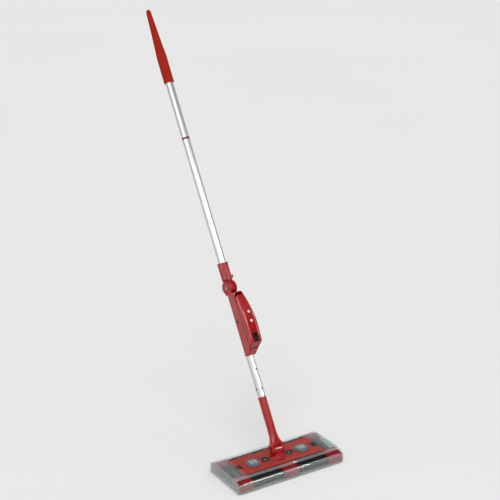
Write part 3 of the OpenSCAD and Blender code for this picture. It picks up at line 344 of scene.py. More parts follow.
def make_materials():
    """Every finish once, by a short name. The name of each material says what it is made of. A
    moulded plastic's numbers are its roughness, coat, grain, the grain's depth and the share that
    its darkest tone keeps; a metal's are its roughness and its lines' width and length."""
    c = bpy.context.scene.sweeper_colours
    plate, nylon, lens = tuple(c.plate_grey), tuple(c.nylon_black), tuple(c.lens_white)
    enamel_skin = {"Roughness": 0.32, "IOR": 1.5, "Coat Weight": 0.2}
    nylon_skin = {"Roughness": 0.33, "IOR": 1.53, "Sheen Weight": 0.15}
    lens_skin = {"Roughness": 0.2, "IOR": 1.58, "Coat Weight": 0.5, "Coat Roughness": 0.05}
    return {
        # polished mould, thick wall: deep colour with sharp highlights
        "body": moulded_plastic("glossy_red_abs", c.body_red, 0.17, 0.12, 0.5, 0.01),
        # seen through the cover: plain gloss; the deck's lighter red is painted light from above, and
        # the blocks' darker red is painted shade
        "deck": moulded_plastic("lit_deck_red_abs", c.deck_lit_red, 0.3, 0.1, 0.6, 0.02),
        "block": moulded_plastic("shaded_block_red_abs", c.block_shaded_red, 0.3, 0.2, 0.6, 0.02),
        # soft over-moulding: dull, with a fine leathery grain
        "grip": moulded_plastic("satin_red_rubber", c.grip_red, 0.55, 0.0, 0.8, 0.06, mirror=0.08),
        # satin moulds: soft highlights on the ring, the bins and the buttons; the wells' sleeves are a
        # dark red that is painted shade inside the wells
        "dark": moulded_plastic("satin_dark_red_abs", c.dark_red, 0.34, 0.1, 0.6, 0.02),
        "well": moulded_plastic("painted_shade_red_abs", c.well_shade_red, 0.4, 0.0, 0.6, 0.02),
        "button": moulded_plastic("grey_green_abs", c.button_grey, 0.28, 0.2, 0.6, 0.02),
        # rib tops: pale and dull, a painted highlight that stands for the glints on the finger ribs
        "rib": moulded_plastic("painted_highlight_grey_abs", c.lens_white, 0.4, 0.0, 0.6, 0.02),
        # black plastics: only their highlights show their shape
        "black": moulded_plastic("black_polyamide", c.moulded_black, 0.3, 0.1, 0.6, 0.03, 0.7),
        "switch": moulded_plastic("glossy_black_abs", c.moulded_black, 0.14, 0.6, 0.6, 0.01, 0.7),
        "board": moulded_plastic("solder_masked_board", c.board_green, 0.35, 0.0, 0.7, 0.03),
        # polished clear wall; the rounded edges gather the light of the wall behind them
        "clear": clear_polystyrene("clear_polystyrene", c, 0.0, 0.09, 0.13, 0.04),
        "clear_edge": clear_polystyrene("polystyrene_edge", c, 0.24, 0.22, 0.1, 0.08),
        # hair lines along the drawn tube, short ones on turned steel, folds in the cell's wrap
        "tube": brushed_metal("anodised_aluminium", c.tube_silver, 0.36, 0.25, 40, TUBE_TURN),
        "steel": brushed_metal("turned_steel", c.steel_grey, 0.3, 0.2, 6, (0, 0, 0)),
        "cell": brushed_metal("cell_wrap_foil", c.cell_green, 0.35, 0.8, 12, TUBE_TURN),
        # stoved enamel on pressed steel: an even gloss over the slight orange peel of the paint
        "plate": mottled(
            "stoved_enamel", darker(plate, 0.75), plate, 30, 4.0, enamel_skin, peel_mm=1.2
        ),
        # nylon filament: shiny along each bristle, with grey patches on some tufts that are painted
        # sheen
        "bristle": mottled(
            "nylon_filament", nylon, tuple(c.nylon_sheen_grey), 2.8, 1.0, nylon_skin, (0.55, 0.75, 0.3)
        ),
        # milky polycarbonate over a lamp: white right through, with a clear gloss
        "lens": mottled("milky_polycarbonate", darker(lens, 0.94), lens, 4, 2.0, lens_skin),
    }


# The materials by the short name of their finish, filled on first use
FINISHES = {}


def finish(name):
    """The material of a finish."""
    if not FINISHES:
        FINISHES.update(make_materials())
    return FINISHES[name]


# ---------------------------------------------------------------- shapes


def handle_axes(turned=True):
    """Directions across, fore and aft, and along the handle, one to a row."""
    turn = TURN if turned else 0.0
    across = (math.cos(turn), math.sin(turn) * math.cos(LEAN), -math.sin(turn) * math.sin(LEAN))
    fore = (-math.sin(turn), math.cos(turn) * math.cos(LEAN), -math.cos(turn) * math.sin(LEAN))
    along = (0.0, math.sin(LEAN), math.cos(LEAN))
    return np.array([across, fore, along])


def on_handle(points, turned=True):
    """Points (x, y, s) in millimetres in the handle's frame, in metres in the shared frame."""
    return np.array([0, 0, PIN_Z * MM]) + np.asarray(points, float) * MM @ handle_axes(turned)


def grid_quads(rows, columns):
    """Quads of a grid of points, closed round its columns: each joins a point to its neighbours
    in the row and in the next row."""
    r, c = np.meshgrid(np.arange(rows - 1), np.arange(columns), indexing="ij")
    n = (c + 1) % columns
    here, above = r * columns, (r + 1) * columns
    return np.stack([here + c, here + n, above + n, above + c], -1).reshape(-1, 4)


def mesh_from(name, points, faces):
    """A mesh from an array of points and an array of faces with equal numbers of corners."""
    mesh = bpy.data.meshes.new(name)
    faces = np.asarray(faces, np.int32)
    mesh.vertices.add(len(points))
    mesh.vertices.foreach_set("co", np.asarray(points, np.float32).ravel())
    mesh.loops.add(faces.size)
    mesh.loops.foreach_set("vertex_index", faces.ravel())
    mesh.polygons.add(len(faces))
    starts = np.arange(0, faces.size, faces.shape[1], dtype=np.int32)
    mesh.polygons.foreach_set("loop_start", starts)
    mesh.update(calc_edges=True)
    return mesh


def grid_mesh(name, points):
    """A mesh of a grid of points, rows by columns, closed round its columns."""
    return mesh_from(name, points.reshape(-1, 3), grid_quads(*points.shape[:2]))


def join_meshes(mesh, part):
    """Adds a second mesh's points and faces to a mesh."""
    work = bmesh.new()
    work.from_mesh(mesh)
    work.from_mesh(part)
    work.to_mesh(mesh)
    work.free()
    bpy.data.meshes.remove(part)


def tidy_mesh(mesh, outward=True):
    """Merges the points of each pole and seam, drops what collapsed, and turns faces outwards."""
    weld = 0.00002
    work = bmesh.new()
    work.from_mesh(mesh)
    bmesh.ops.remove_doubles(work, verts=work.verts, dist=weld)
    bmesh.ops.dissolve_degenerate(work, edges=work.edges, dist=weld / 4)
    if outward:
        bmesh.ops.recalc_face_normals(work, faces=work.faces)
    work.to_mesh(mesh)
    work.free()
    mesh.update()


def place_piece(mesh, name, body, slot, material, replaced=(), smooth_angle=35):
    """Makes a mesh a piece of the sweeper: smooth but for its sharp edges, with its finish and body,
    and standing for the solids that it replaces. The slot that it is given is not used."""
    piece = bpy.data.objects.new(name, mesh)
    bpy.context.scene.collection.objects.link(piece)
    mesh.materials.clear()
    mesh.materials.append(finish(material))
    mesh.polygons.foreach_set("use_smooth", np.ones(len(mesh.polygons), bool))
    mesh.set_sharp_from_angle(angle=math.radians(smooth_angle))
    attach(piece, body)
    if replaced:
        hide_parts(*replaced)
    return piece


def surface_piece(name, points, body, slot, material, replaced=(), smooth_angle=35):
    """A piece whose surface is a grid of points, rows by columns, closed round its columns."""
    mesh = grid_mesh(name, points)
    tidy_mesh(mesh)
    return place_piece(mesh, name, body, slot, material, replaced, smooth_angle)


def rounded_line(corners, radii):
    """A line through corners whose corners are rounded: each corner becomes a curve from a point
    one radius before it to a point one radius after it, by the weights (1-t)^2, 2t(1-t), t^2."""
    corners = np.asarray(corners, float)
    t = np.linspace(0, 1, 6)[:, None]
    parts = [corners[:1]]
    for before, corner, after, radius in zip(corners, corners[1:], corners[2:], radii):
        to_before, to_after = before - corner, after - corner
        lengths = np.linalg.norm(to_before), np.linalg.norm(to_after)
        # Two curves on one line never meet
        reach = min(radius, 0.49 * lengths[0], 0.49 * lengths[1])
        a = corner + to_before / lengths[0] * reach
        b = corner + to_after / lengths[1] * reach
        parts.append((1 - t) ** 2 * a + 2 * t * (1 - t) * corner + t**2 * b)
    parts.append(corners[-1:])
    return np.concatenate(parts)


def turned_points(profile, columns=72):
    """Surface of revolution: (radius, height) pairs carried round the axis; the point at angle a
    is (radius cos a, radius sin a, height)."""
    a = np.linspace(0, 2 * math.pi, columns, endpoint=False)
    r, h = profile[:, 0:1], profile[:, 1:2]
    return np.stack([r * np.cos(a), r * np.sin(a), h + 0 * a], -1)


def smooth_step(value, low, high):
    """0 below low, 1 above high, and 3t^2 - 2t^3 between."""
    t = np.clip((value - low) / (high - low), 0, 1)
    return t * t * (3 - 2 * t)


def rounded_copy(
    node, width, material, body, slot, segments=2, sharp=30, weigh=None, clamp=True
):
    """A copy of a CAD node with its loose triangles merged, its flat faces joined, and its sharp
    edges rounded by a Bevel of the given width. weigh gives an edge's share of that width from
    the edge's middle and length."""
    merge, flat, long_edge, cuts = 0.000004, math.radians(0.6), 0.1, 30
    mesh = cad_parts[node].data.copy()
    work = bmesh.new()
    work.from_mesh(mesh)
    bmesh.ops.remove_doubles(work, verts=work.verts, dist=merge)
    bmesh.ops.dissolve_limit(work, angle_limit=flat, verts=work.verts, edges=work.edges)
    if weigh:
        layer = work.edges.layers.float.new("bevel_weight_edge")
        for edge in work.edges:
            if edge.is_manifold and edge.calc_face_angle() > math.radians(sharp):
                start, end = (vertex.co for vertex in edge.verts)
                edge[layer] = weigh((start + end) / 2, (end - start).length)
        # Points along a long edge keep the shading at its ends from spreading along it
        stretched = [e for e in work.edges if e[layer] > 0 and e.calc_length() > long_edge]
        bmesh.ops.subdivide_edges(work, edges=stretched, cuts=cuts)
        many_sided = [face for face in work.faces if len(face.verts) > 4]
        bmesh.ops.triangulate(work, faces=many_sided)
    work.to_mesh(mesh)
    work.free()
    for attribute in [a for a in mesh.attributes if a.name == "custom_normal"]:
        mesh.attributes.remove(attribute)
    piece = place_piece(mesh, f"{node}_finish", body, slot, material, (node,), sharp)
    bevel = piece.modifiers.new("rounded_edges", "BEVEL")
    bevel.width = width
    bevel.segments = segments
    bevel.limit_method = "WEIGHT" if weigh else "ANGLE"
    bevel.angle_limit = math.radians(sharp)
    bevel.use_clamp_overlap = clamp
    bevel.harden_normals = True
    return piece


def paint_nodes(names, material):
    """Gives CAD nodes that keep their own shape a finish."""
    for name in names:
        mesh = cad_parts[name].data
        mesh.materials.clear()
        mesh.materials.append(finish(material))


# ---------------------------------------------------------------- head


class SWEEPER_OT_clear_cover(bpy.types.Operator):
    """Clear cover with rounded crest, top and corners"""

    bl_idname = "sweeper.clear_cover"
    bl_label = "Clear cover"

    def execute(self, context):
        low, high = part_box("top_cover")
        side_x, side_y = high.x - 0.6 * COVER_WALL, high.y - 1.1 * COVER_WALL
        end_share = 0.4

        def weigh(middle, length):
            """Full rounding on the flat top's long edges, on the outer crests and corners, less on
            the top's outer edges, and none inside, on the rims and round the openings."""
            if middle.z < low.z + COVER_RIM or length < SHORTEST_ROUNDED:
                return 0.0
            on_top = middle.z > high.z - NEAR
            if on_top and abs(abs(middle.y) - FLAT_TOP_HALF) < NEAR:
                return 1.0
            outer = abs(middle.x) > side_x or abs(middle.y) > side_y
            return (end_share if on_top else 1.0) if outer else 0.0

        cover = rounded_copy(
            "top_cover",
            context.scene.sweeper_sizes.cover_edge,
            "clear",
            "head",
            "clear_cover",
            segments=4,
            sharp=15,
            weigh=weigh,
            clamp=False,
        )
        cover.data.materials.append(finish("clear_edge"))
        cover.modifiers["rounded_edges"].material = 1
        return {"FINISHED"}


class SWEEPER_OT_deck(bpy.types.Operator):
    """Deck plate, dust bins and the blocks that hold the brushes"""

    bl_idname = "sweeper.deck"
    bl_label = "Deck and blocks"

    def execute(self, context):
        edge = context.scene.sweeper_sizes.moulded_edge
        rounded_copy("deck", edge * FINE, "deck", "head", "red_plastic")
        corners = [f"{end}_{side}" for end in ("front", "rear") for side in ("left", "right")]
        for name in [f"corner_block_{corner}" for corner in corners] + ["centre_block"]:
            rounded_copy(name, edge, "block", "head", "red_plastic")
        paint_nodes(["dust_bins"], "dark")
        paint_nodes(["head_screws"], "steel")
        # Each screw stands in a well: a sleeve between the deck and the cover, with a floor, both in a
        # dark red that is painted shade inside the well
        cup_rim, from_screw_side = 0.6, 3.0
        deck_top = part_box("deck")[1].z / MM - cup_rim
        sleeve_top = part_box("top_cover")[1].z / MM - 0.1
        floor, bottom, inner, outer = deck_top + 0.35, deck_top + 0.02, 8.0, 9.4
        section = [(0, floor), (inner, floor), (inner + 0.4, sleeve_top)]
        section += [(outer, sleeve_top), (outer, bottom), (0, bottom)]
        sleeve = turned_points(rounded_line(section, [1.2, 0.3, 0.3, 0.2]), columns=48)
        well_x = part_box("head_screws")[1].x / MM - from_screw_side
        for side, name in ((-1, "screw_well_left"), (1, "screw_well_right")):
            points = (sleeve + np.array([side * well_x, 0, 0])) * MM
            surface_piece(name, points, "head", "red_plastic", "well")
        return {"FINISHED"}


class SWEEPER_OT_release_buttons(bpy.types.Operator):
    """Round release buttons with their finger ribs"""

    bl_idname = "sweeper.release_buttons"
    bl_label = "Release buttons"

    def execute(self, context):
        edge = context.scene.sweeper_sizes.moulded_edge * FINE
        rib_highlight_depth = 0.0003
        for side in ("left", "right"):
            node = f"release_button_{side}"
            mesh = rounded_copy(node, edge, "button", f"{side}_button", "grey_plastic").data
            # The tops of the finger ribs are pale, a painted highlight
            mesh.materials.append(finish("rib"))
            centres = np.empty(len(mesh.polygons) * 3)
            mesh.polygons.foreach_get("center", centres)
            rib_highlight = centres[2::3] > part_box(node)[1].z - rib_highlight_depth
            mesh.polygons.foreach_set("material_index", rib_highlight.astype(np.int32))
        return {"FINISHED"}


def bristle_mesh(name, spans, axis_point, along_x, tip_r):
    """Bristles round a brush core. A tuft stands at every tuft pitch on eight helical rows that
    turn 120 degrees in 100 mm, and holds a ring of bristles that spread towards their tips. Each
    bristle is a three-sided spike from the core's surface to the tip radius."""
    sizes = bpy.context.scene.sweeper_sizes
    core_r, rows, per_tuft, twist = 5.9 * MM, 8, 9, math.radians(120) / 0.1
    # How far the tips of a tuft spread, how unevenly, how much shorter the shortest bristle is,
    # how far the end ones lean out, and the shares of the spread at the roots
    spread_mm, spread_angle, uneven_mm, uneven_angle = 0.9, 0.11, 0.35, 0.045
    shorter_mm, overhang_mm, root_along, root_round, tip_width = 0.7, 0.6, 0.35, 0.4, 0.6
    rng = np.random.default_rng(7)
    stations = np.concatenate(
        [np.arange(a, b, sizes.tuft_pitch) + (b - a) % sizes.tuft_pitch / 2 for a, b in spans]
    )
    # The rows of a brush in two spans wind away from its middle
    starts = np.array([spans[0][0] if s < spans[0][1] else spans[-1][0] for s in stations])
    signs = np.where(stations < 0, -1.0, 1.0) if len(spans) > 1 else np.ones(len(stations))
    row = np.arange(rows) * 2 * math.pi / rows
    angle = row[None, :] + signs[:, None] * twist * (stations - starts)[:, None]
    s0 = np.repeat(stations[:, None] + 0 * angle, per_tuft).reshape(-1)
    a0 = np.repeat(angle, per_tuft).reshape(-1)
    count = len(s0)
    fan = np.tile(np.arange(per_tuft) * 2 * math.pi / per_tuft, count // per_tuft)
    spread_s = (np.cos(fan) * spread_mm + rng.normal(0, uneven_mm, count)) * MM
    spread_a = np.sin(fan) * spread_angle + rng.normal(0, uneven_angle, count)
    tip = tip_r * MM - rng.uniform(0, shorter_mm, count) * MM
    low = min(a for a, b in spans) - overhang_mm * MM
    high = max(b for a, b in spans) + overhang_mm * MM
    tip_s = np.clip(s0 + spread_s, low, high)
    corner = np.arange(3) * 2 * math.pi / 3

    def ring(r, s, a, size):
        """Three corners of a bristle's section: size about the point at radius r, angle a."""
        ds = size * np.cos(corner)[None, :]
        da = size * np.sin(corner)[None, :] / r[:, None]
        around = a[:, None] + da
        return np.stack([s[:, None] + ds, r[:, None] * np.cos(around), r[:, None] * np.sin(around)], -1)

    half = sizes.bristle_width / 2
    root_s, root_a = s0 + spread_s * root_along, a0 + spread_a * root_round
    roots = ring(np.full(count, core_r), root_s, root_a, half)
    tips = ring(tip, tip_s, a0 + spread_a, half * tip_width)
    points = np.concatenate([roots, tips], 1).reshape(-1, 3)
    base = np.arange(count)[:, None, None] * 6
    sides = np.array(
        [[0, 1, 4], [0, 4, 3], [1, 2, 5], [1, 5, 4], [2, 0, 3], [2, 3, 5], [3, 4, 5], [2, 1, 0]]
    )
    if not along_x:
        points = points[:, [1, 0, 2]] * np.array([-1, 1, 1])
    return mesh_from(name, points + np.array(axis_point), (base + sides[None]).reshape(-1, 3))


class SWEEPER_OT_brushes(bpy.types.Operator):
    """Four bristle brushes with their cores, shafts and bevel gears"""

    bl_idname = "sweeper.brushes"
    bl_label = "Brushes"

    def execute(self, context):
        # Half the gap in the middle of the two long brushes, in metres
        half_gaps = {"front": 0.022, "rear": 0.001}
        for side in ("front", "rear", "left", "right"):
            low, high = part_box(f"{side}_bristles")
            middle = (low + high) / 2
            along_x = side in half_gaps
            if along_x:
                spans = [(low.x, -half_gaps[side]), (half_gaps[side], high.x)]
                axis_point = (0, middle.y, middle.z)
            else:
                spans = [(low.y, high.y)]
                axis_point = (middle.x, 0, middle.z)
            name = f"{side}_tufts"
            mesh = bristle_mesh(name, spans, axis_point, along_x, (high.z - low.z) / 2 / MM)
            replaced = (f"{side}_bristles",)
            place_piece(mesh, name, f"{side}_brush", "bristle", "bristle", replaced)
            paint_nodes([f"{side}_core", f"{side}_gears"], "black")
            paint_nodes([f"{side}_shaft"], "steel")
        return {"FINISHED"}


class SWEEPER_OT_undercarriage(bpy.types.Operator):
    """Base plate, dust doors, wheels, motor and gear train"""

    bl_idname = "sweeper.undercarriage"
    bl_label = "Undercarriage"

    def execute(self, context):
        edge = context.scene.sweeper_sizes.pressed_edge
        rounded_copy("base_frame", edge, "plate", "head", "painted_plate")
        for side in ("left", "right"):
            rounded_copy(f"dust_door_{side}", edge, "plate", f"{side}_door", "painted_plate")
            for end in ("front", "rear"):
                wheel, body = f"wheel_{end}_{side}", f"{end}_{side}_wheel"
                rounded_copy(wheel, edge, "black", body, "black_plastic")
        paint_nodes(["motor", "motor_pinion", "foot_retainer"], "steel")
        paint_nodes(["idler_gear"], "black")
        return {"FINISHED"}


# ---------------------------------------------------------------- foot, neck and tubes


def plate_points(radius, half_width, reach, x0, x1, edge, crown=0.0):
    """A knuckle plate: a disc joined to a bar that leaves it on one side. Round the outline the
    distance from the centre is the larger of the radius and of the way to the bar's edge,
    min(reach / cos a, half_width / |sin a|), where a is measured from the bar's direction.
    Rows go from the middle of one face over the rounded rim to the middle of the other; crown
    sinks the rim of each face below its middle. Gives (thickness, across, towards the bar)."""
    least = 1e-6
    a = np.linspace(-math.pi, math.pi, 96, endpoint=False)
    facing = np.abs(a) < QUARTER
    cos_a = np.maximum(np.where(facing, np.cos(a), 1.0), least)
    sin_a = np.maximum(np.abs(np.sin(a)), least)
    bar = np.where(facing, np.minimum(reach / cos_a, half_width / sin_a), 0.0)
    outline = np.maximum(radius, bar)[None]
    turn = np.linspace(0, QUARTER, 6)[:, None]
    inset = np.concatenate([edge * (1 - np.sin(turn)), edge * (1 - np.cos(turn))])
    rise = np.concatenate([edge * (1 - np.cos(turn)), x1 - x0 - edge + edge * np.sin(turn)])
    inner = np.array([0.0, 0.35, 0.7])[:, None]
    r = np.concatenate([outline * inner, outline - inset, outline * inner[::-1]])
    h = np.concatenate([np.full((3, 1), x0), x0 + rise, np.full((3, 1), x1)]) + 0 * r
    h = h - np.sign(h - (x0 + x1) / 2) * crown * np.clip(r / radius, 0, 1) ** 2
    return np.stack([h, r * np.sin(a)[None], r * np.cos(a)[None]], -1)


class SWEEPER_OT_foot(bpy.types.Operator):
    """Swivel foot with its tongue and the tilt pin"""

    bl_idname = "sweeper.foot"
    bl_label = "Swivel foot"

    def execute(self, context):
        edge = context.scene.sweeper_sizes.foot_edge
        rounded_copy("swivel_foot", edge, "body", "foot", "red_plastic", segments=3)
        paint_nodes(["neck_pin"], "steel")
        return {"FINISHED"}


# The neck's fork: its half sizes, its corners' radius and the half width of its slot, in mm
FORK_HALF_X = 17.0
FORK_HALF_Y = 9.5
FORK_CORNER_R = 3.2
SLOT_HALF = 10.5


def neck_points():
    """The neck from the fork's crotch to its top. The section at s is a rounded oblong whose half
    sizes and corner radius pass from the fork's to the tube's radius by
    1 - (1-t)^2.6, three tenths of it smoothed once more, where t runs from the crotch to the end
    of the flare. The first rows close the crotch, and the last nine are the lip and the bore."""
    crotch, flare_end, tube_r, flare_power, corners = 9.6, 50.0, 10.2, 2.6, 16
    s = np.concatenate(
        [
            [crotch, crotch, crotch],
            np.linspace(crotch + 0.8, flare_end, 24),
            np.linspace(flare_end + 6, NECK_TOP - 4.4, 14),
            NECK_TOP - np.array([3.6, 3.4, 3.0, 1.0, 0.6, 0.2, 0.0, 0.0, 0.0]),
        ]
    )
    share = np.clip((s - crotch) / (flare_end - crotch), 0, 1)
    ease = 1 - (1 - share) ** flare_power
    ease = smooth_step(ease, 0, 1) * 0.3 + ease * 0.7
    half_x = FORK_HALF_X + (tube_r - FORK_HALF_X) * ease
    half_y = FORK_HALF_Y + (tube_r - FORK_HALF_Y) * ease
    corner = FORK_CORNER_R + (tube_r - FORK_CORNER_R) * np.clip(ease * 1.1, 0, 1)
    corner = np.minimum(corner, np.minimum(half_x, half_y))
    # How far each row is drawn in
    shrink = np.zeros(len(s))
    shrink[:3] = [20, 9, 0.8]
    shrink[-9:] = [0.0, -0.35, -0.6, -0.6, -0.45, 0.1, 0.7, 4.0, 12.0]
    quarter = np.arange(4 * corners) // corners
    a = (np.arange(4 * corners) % corners) / (corners - 1) * QUARTER + quarter * QUARTER
    sign_x = np.where((quarter == 0) | (quarter == 3), 1.0, -1.0)
    sign_y = np.where(quarter < 2, 1.0, -1.0)
    hx = np.maximum(half_x - shrink, 0)[:, None]
    hy = np.maximum(half_y - shrink, 0)[:, None]
    c = np.minimum(np.maximum(corner - shrink, 0.0)[:, None], np.minimum(hx, hy))
    x = sign_x * (hx - c) + c * np.cos(a)
    y = sign_y * (hy - c) + c * np.sin(a)
    return np.stack([x, y, s[:, None] + 0 * x], -1)


class SWEEPER_OT_neck(bpy.types.Operator):
    """Neck: a fork that flares from the tube to the two ears of the tilt hinge"""

    bl_idname = "sweeper.neck"
    bl_label = "Neck"

    def execute(self, context):
        mesh = grid_mesh("neck_shaft", on_handle(neck_points(), False))
        for side in (-1, 1):
            x0, x1 = sorted((side * SLOT_HALF, side * FORK_HALF_X))
            ear = plate_points(FORK_HALF_Y, FORK_HALF_Y, reach=13.0, x0=x0, x1=x1, edge=1.0)
            join_meshes(mesh, grid_mesh("ear", on_handle(ear, False)))
        tidy_mesh(mesh)
        place_piece(mesh, "neck_moulding", "stem", "red_plastic", "body", ("neck",), SOFT_ANGLE)
        return {"FINISHED"}


class SWEEPER_OT_tubes(bpy.types.Operator):
    """Aluminium tubes, the ring between them and the snap buttons"""

    bl_idname = "sweeper.tubes"
    bl_label = "Tubes"

    def execute(self, context):
        paint_nodes(["lower_tube", "middle_tube", "upper_tube"], "tube")
        snaps = ["tube_snap_button", "neck_snap_button_front", "neck_snap_button_side"]
        paint_nodes(snaps, "black")
        # A band that stands proud of the tubes, and a sleeve inside them
        low, high, sleeve = RING_START - 0.02, RING_END + 0.02, 3
        sleeve_r, tube_r, ring_r = 9.3, 9.52, 10.1
        lower_half = [(sleeve_r, low - sleeve), (tube_r, low), (ring_r, low)]
        upper_half = [(ring_r, high), (tube_r, high), (sleeve_r, high + sleeve)]
        band = rounded_line(lower_half + upper_half, [0.0, 0.5, 0.5, 0.0])
        profile = np.concatenate([[(0, low - sleeve)], band, [(0, high + sleeve)]])
        ring = on_handle(turned_points(profile))
        slot, replaced = "dark_red_plastic", ("tube_ring",)
        surface_piece("tube_ring_moulding", ring, "handle", slot, "dark", replaced)
        return {"FINISHED"}


# ---------------------------------------------------------------- battery case

# Forward reach and half width at shares of the case's length, in millimetres
CASE_REACHES = [(0, 11.6), (0.17, 41), (0.42, 43), (0.55, 42.6)]
CASE_REACHES += [(0.66, 40.4), (0.78, 36.4), (0.9, 31), (1, 25)]
CASE_WIDTHS = [(0, 10.6), (0.17, 18.2), (0.75, 18.2), (1, 15)]
CASE_HALF = 18.2
CASE_BACK_R = 10.6
CASE_EDGE_R = 3.4
CASE_BROAD_R = 7.5
# The sides stand apart from the back's circle by this angle
CASE_SPREAD = math.radians(10.6)
SEAM_Y = -27.5
# The sunk panel: its ends as shares of the case's length, its half width, depth and step
PANEL = (0.175, 0.615)
PANEL_HALF = 11.6
PANEL_DEPTH = 0.7
PANEL_STEP = 0.45
# Where the case's front begins, seen from the side
FRONT_Y = -30
ROCKER_S = CASE_START + 0.245 * CASE_LENGTH
ROCKER_HALF = (6.5, 9.0)
SOCKET_S = CASE_START + 0.545 * CASE_LENGTH
SOCKET_Y = -7.0
SOCKET_R = 2.9


def softened_stations(stations):
    """A line through stations (share of the case's length, value), with each bend spread over a
    few millimetres: the line is sampled finely, held straight on past both ends, and averaged
    with a bell-shaped weight. Gives a function of the share."""
    blur_mm, step_mm, past_end = 1.6, 0.25, 0.08
    share, value = np.array(stations, float).T
    fine = np.arange(-past_end, 1 + past_end, step_mm / CASE_LENGTH)
    line = np.interp(fine, share, value)
    first = (value[1] - value[0]) / (share[1] - share[0])
    last = (value[-1] - value[-2]) / (share[-1] - share[-2])
    line = np.where(fine < 0, value[0] + first * fine, line)
    line = np.where(fine > 1, value[-1] + last * (fine - 1), line)
    offsets = np.arange(-24, 25) * step_mm
    weights = np.exp(-((offsets / blur_mm) ** 2) / 2)
    line = np.convolve(line, weights / weights.sum(), "same")
    return lambda u: np.interp(u, fine, line)


def case_outline(u, draw_in, side_shares, front_x):
    """Section of the case at shares u of its length, drawn in by draw_in: a round back, straight
    sides that touch it and a front corner, a rounded corner, and a flat front. Columns run from
    the middle of the back along the right side to the front, and back along the left side.
    side_shares places the columns on a side; front_x places them on the front."""
    full_reach = softened_stations(CASE_REACHES)(u)
    back = (CASE_BACK_R - draw_in)[:, None]
    reach = (full_reach - draw_in)[:, None]
    side_x = CASE_BACK_R * math.cos(CASE_SPREAD)
    side_x = side_x + (full_reach + CASE_BACK_R * math.sin(CASE_SPREAD)) * math.tan(CASE_SPREAD)
    half = np.minimum(softened_stations(CASE_WIDTHS)(u), side_x)
    half = (np.minimum(half, CASE_HALF) - draw_in)[:, None]
    # The corner is crisp beside the panel, broad above it, and small at both ends
    broad = smooth_step(u, PANEL[1] - 0.16, PANEL[1] + 0.16)
    edge = CASE_EDGE_R + (CASE_BROAD_R - CASE_EDGE_R) * broad
    edge = np.minimum(edge, CASE_EDGE_R * np.clip((u - 1) * -12 + 1.6, 1, 3))
    edge = np.minimum(edge, CASE_EDGE_R * np.clip(u * 12 + 0.4, 0.4, 3)) - draw_in
    edge = np.minimum(np.maximum(edge, 0.4)[:, None], half - 0.2)
    cx, cy = half - edge, edge - reach
    # The side touches both circles: its normal stands at this angle
    lean = np.arccos(np.clip((back - edge) / np.hypot(cx, cy), -1, 1))
    tangent = np.arctan2(cy, cx) + lean
    # Right half, from the back to the front; the left half mirrors it
    back_angle = QUARTER - np.linspace(0, 1, 9)[None, :-1] * (QUARTER - tangent)
    bx, by = back * np.cos(back_angle), back * np.sin(back_angle)
    normal_x, normal_y = np.cos(tangent), np.sin(tangent)
    t = np.asarray(side_shares)[None, :]
    sx = (back * normal_x) * (1 - t) + (cx + edge * normal_x) * t
    sy = (back * normal_y) * (1 - t) + (cy + edge * normal_y) * t
    arc = np.linspace(0, 1, 7)[None, 1:]
    angle = tangent * (1 - arc) - QUARTER * arc
    ex, ey = cx + edge * np.cos(angle), cy + edge * np.sin(angle)
    front_full = 14.2
    fx = np.asarray(front_x)[None, :] * np.minimum(cx / front_full, 1.0)
    x = np.concatenate([bx, sx, ex, fx[:, ::-1]], 1)
    y = np.concatenate([by, sy, ey, -reach + 0 * fx], 1)
    left_x, left_y = -x[:, ::-1], y[:, ::-1]
    return np.concatenate([x, left_x[:, 1:-1]], 1), np.concatenate([y, left_y[:, 1:-1]], 1)


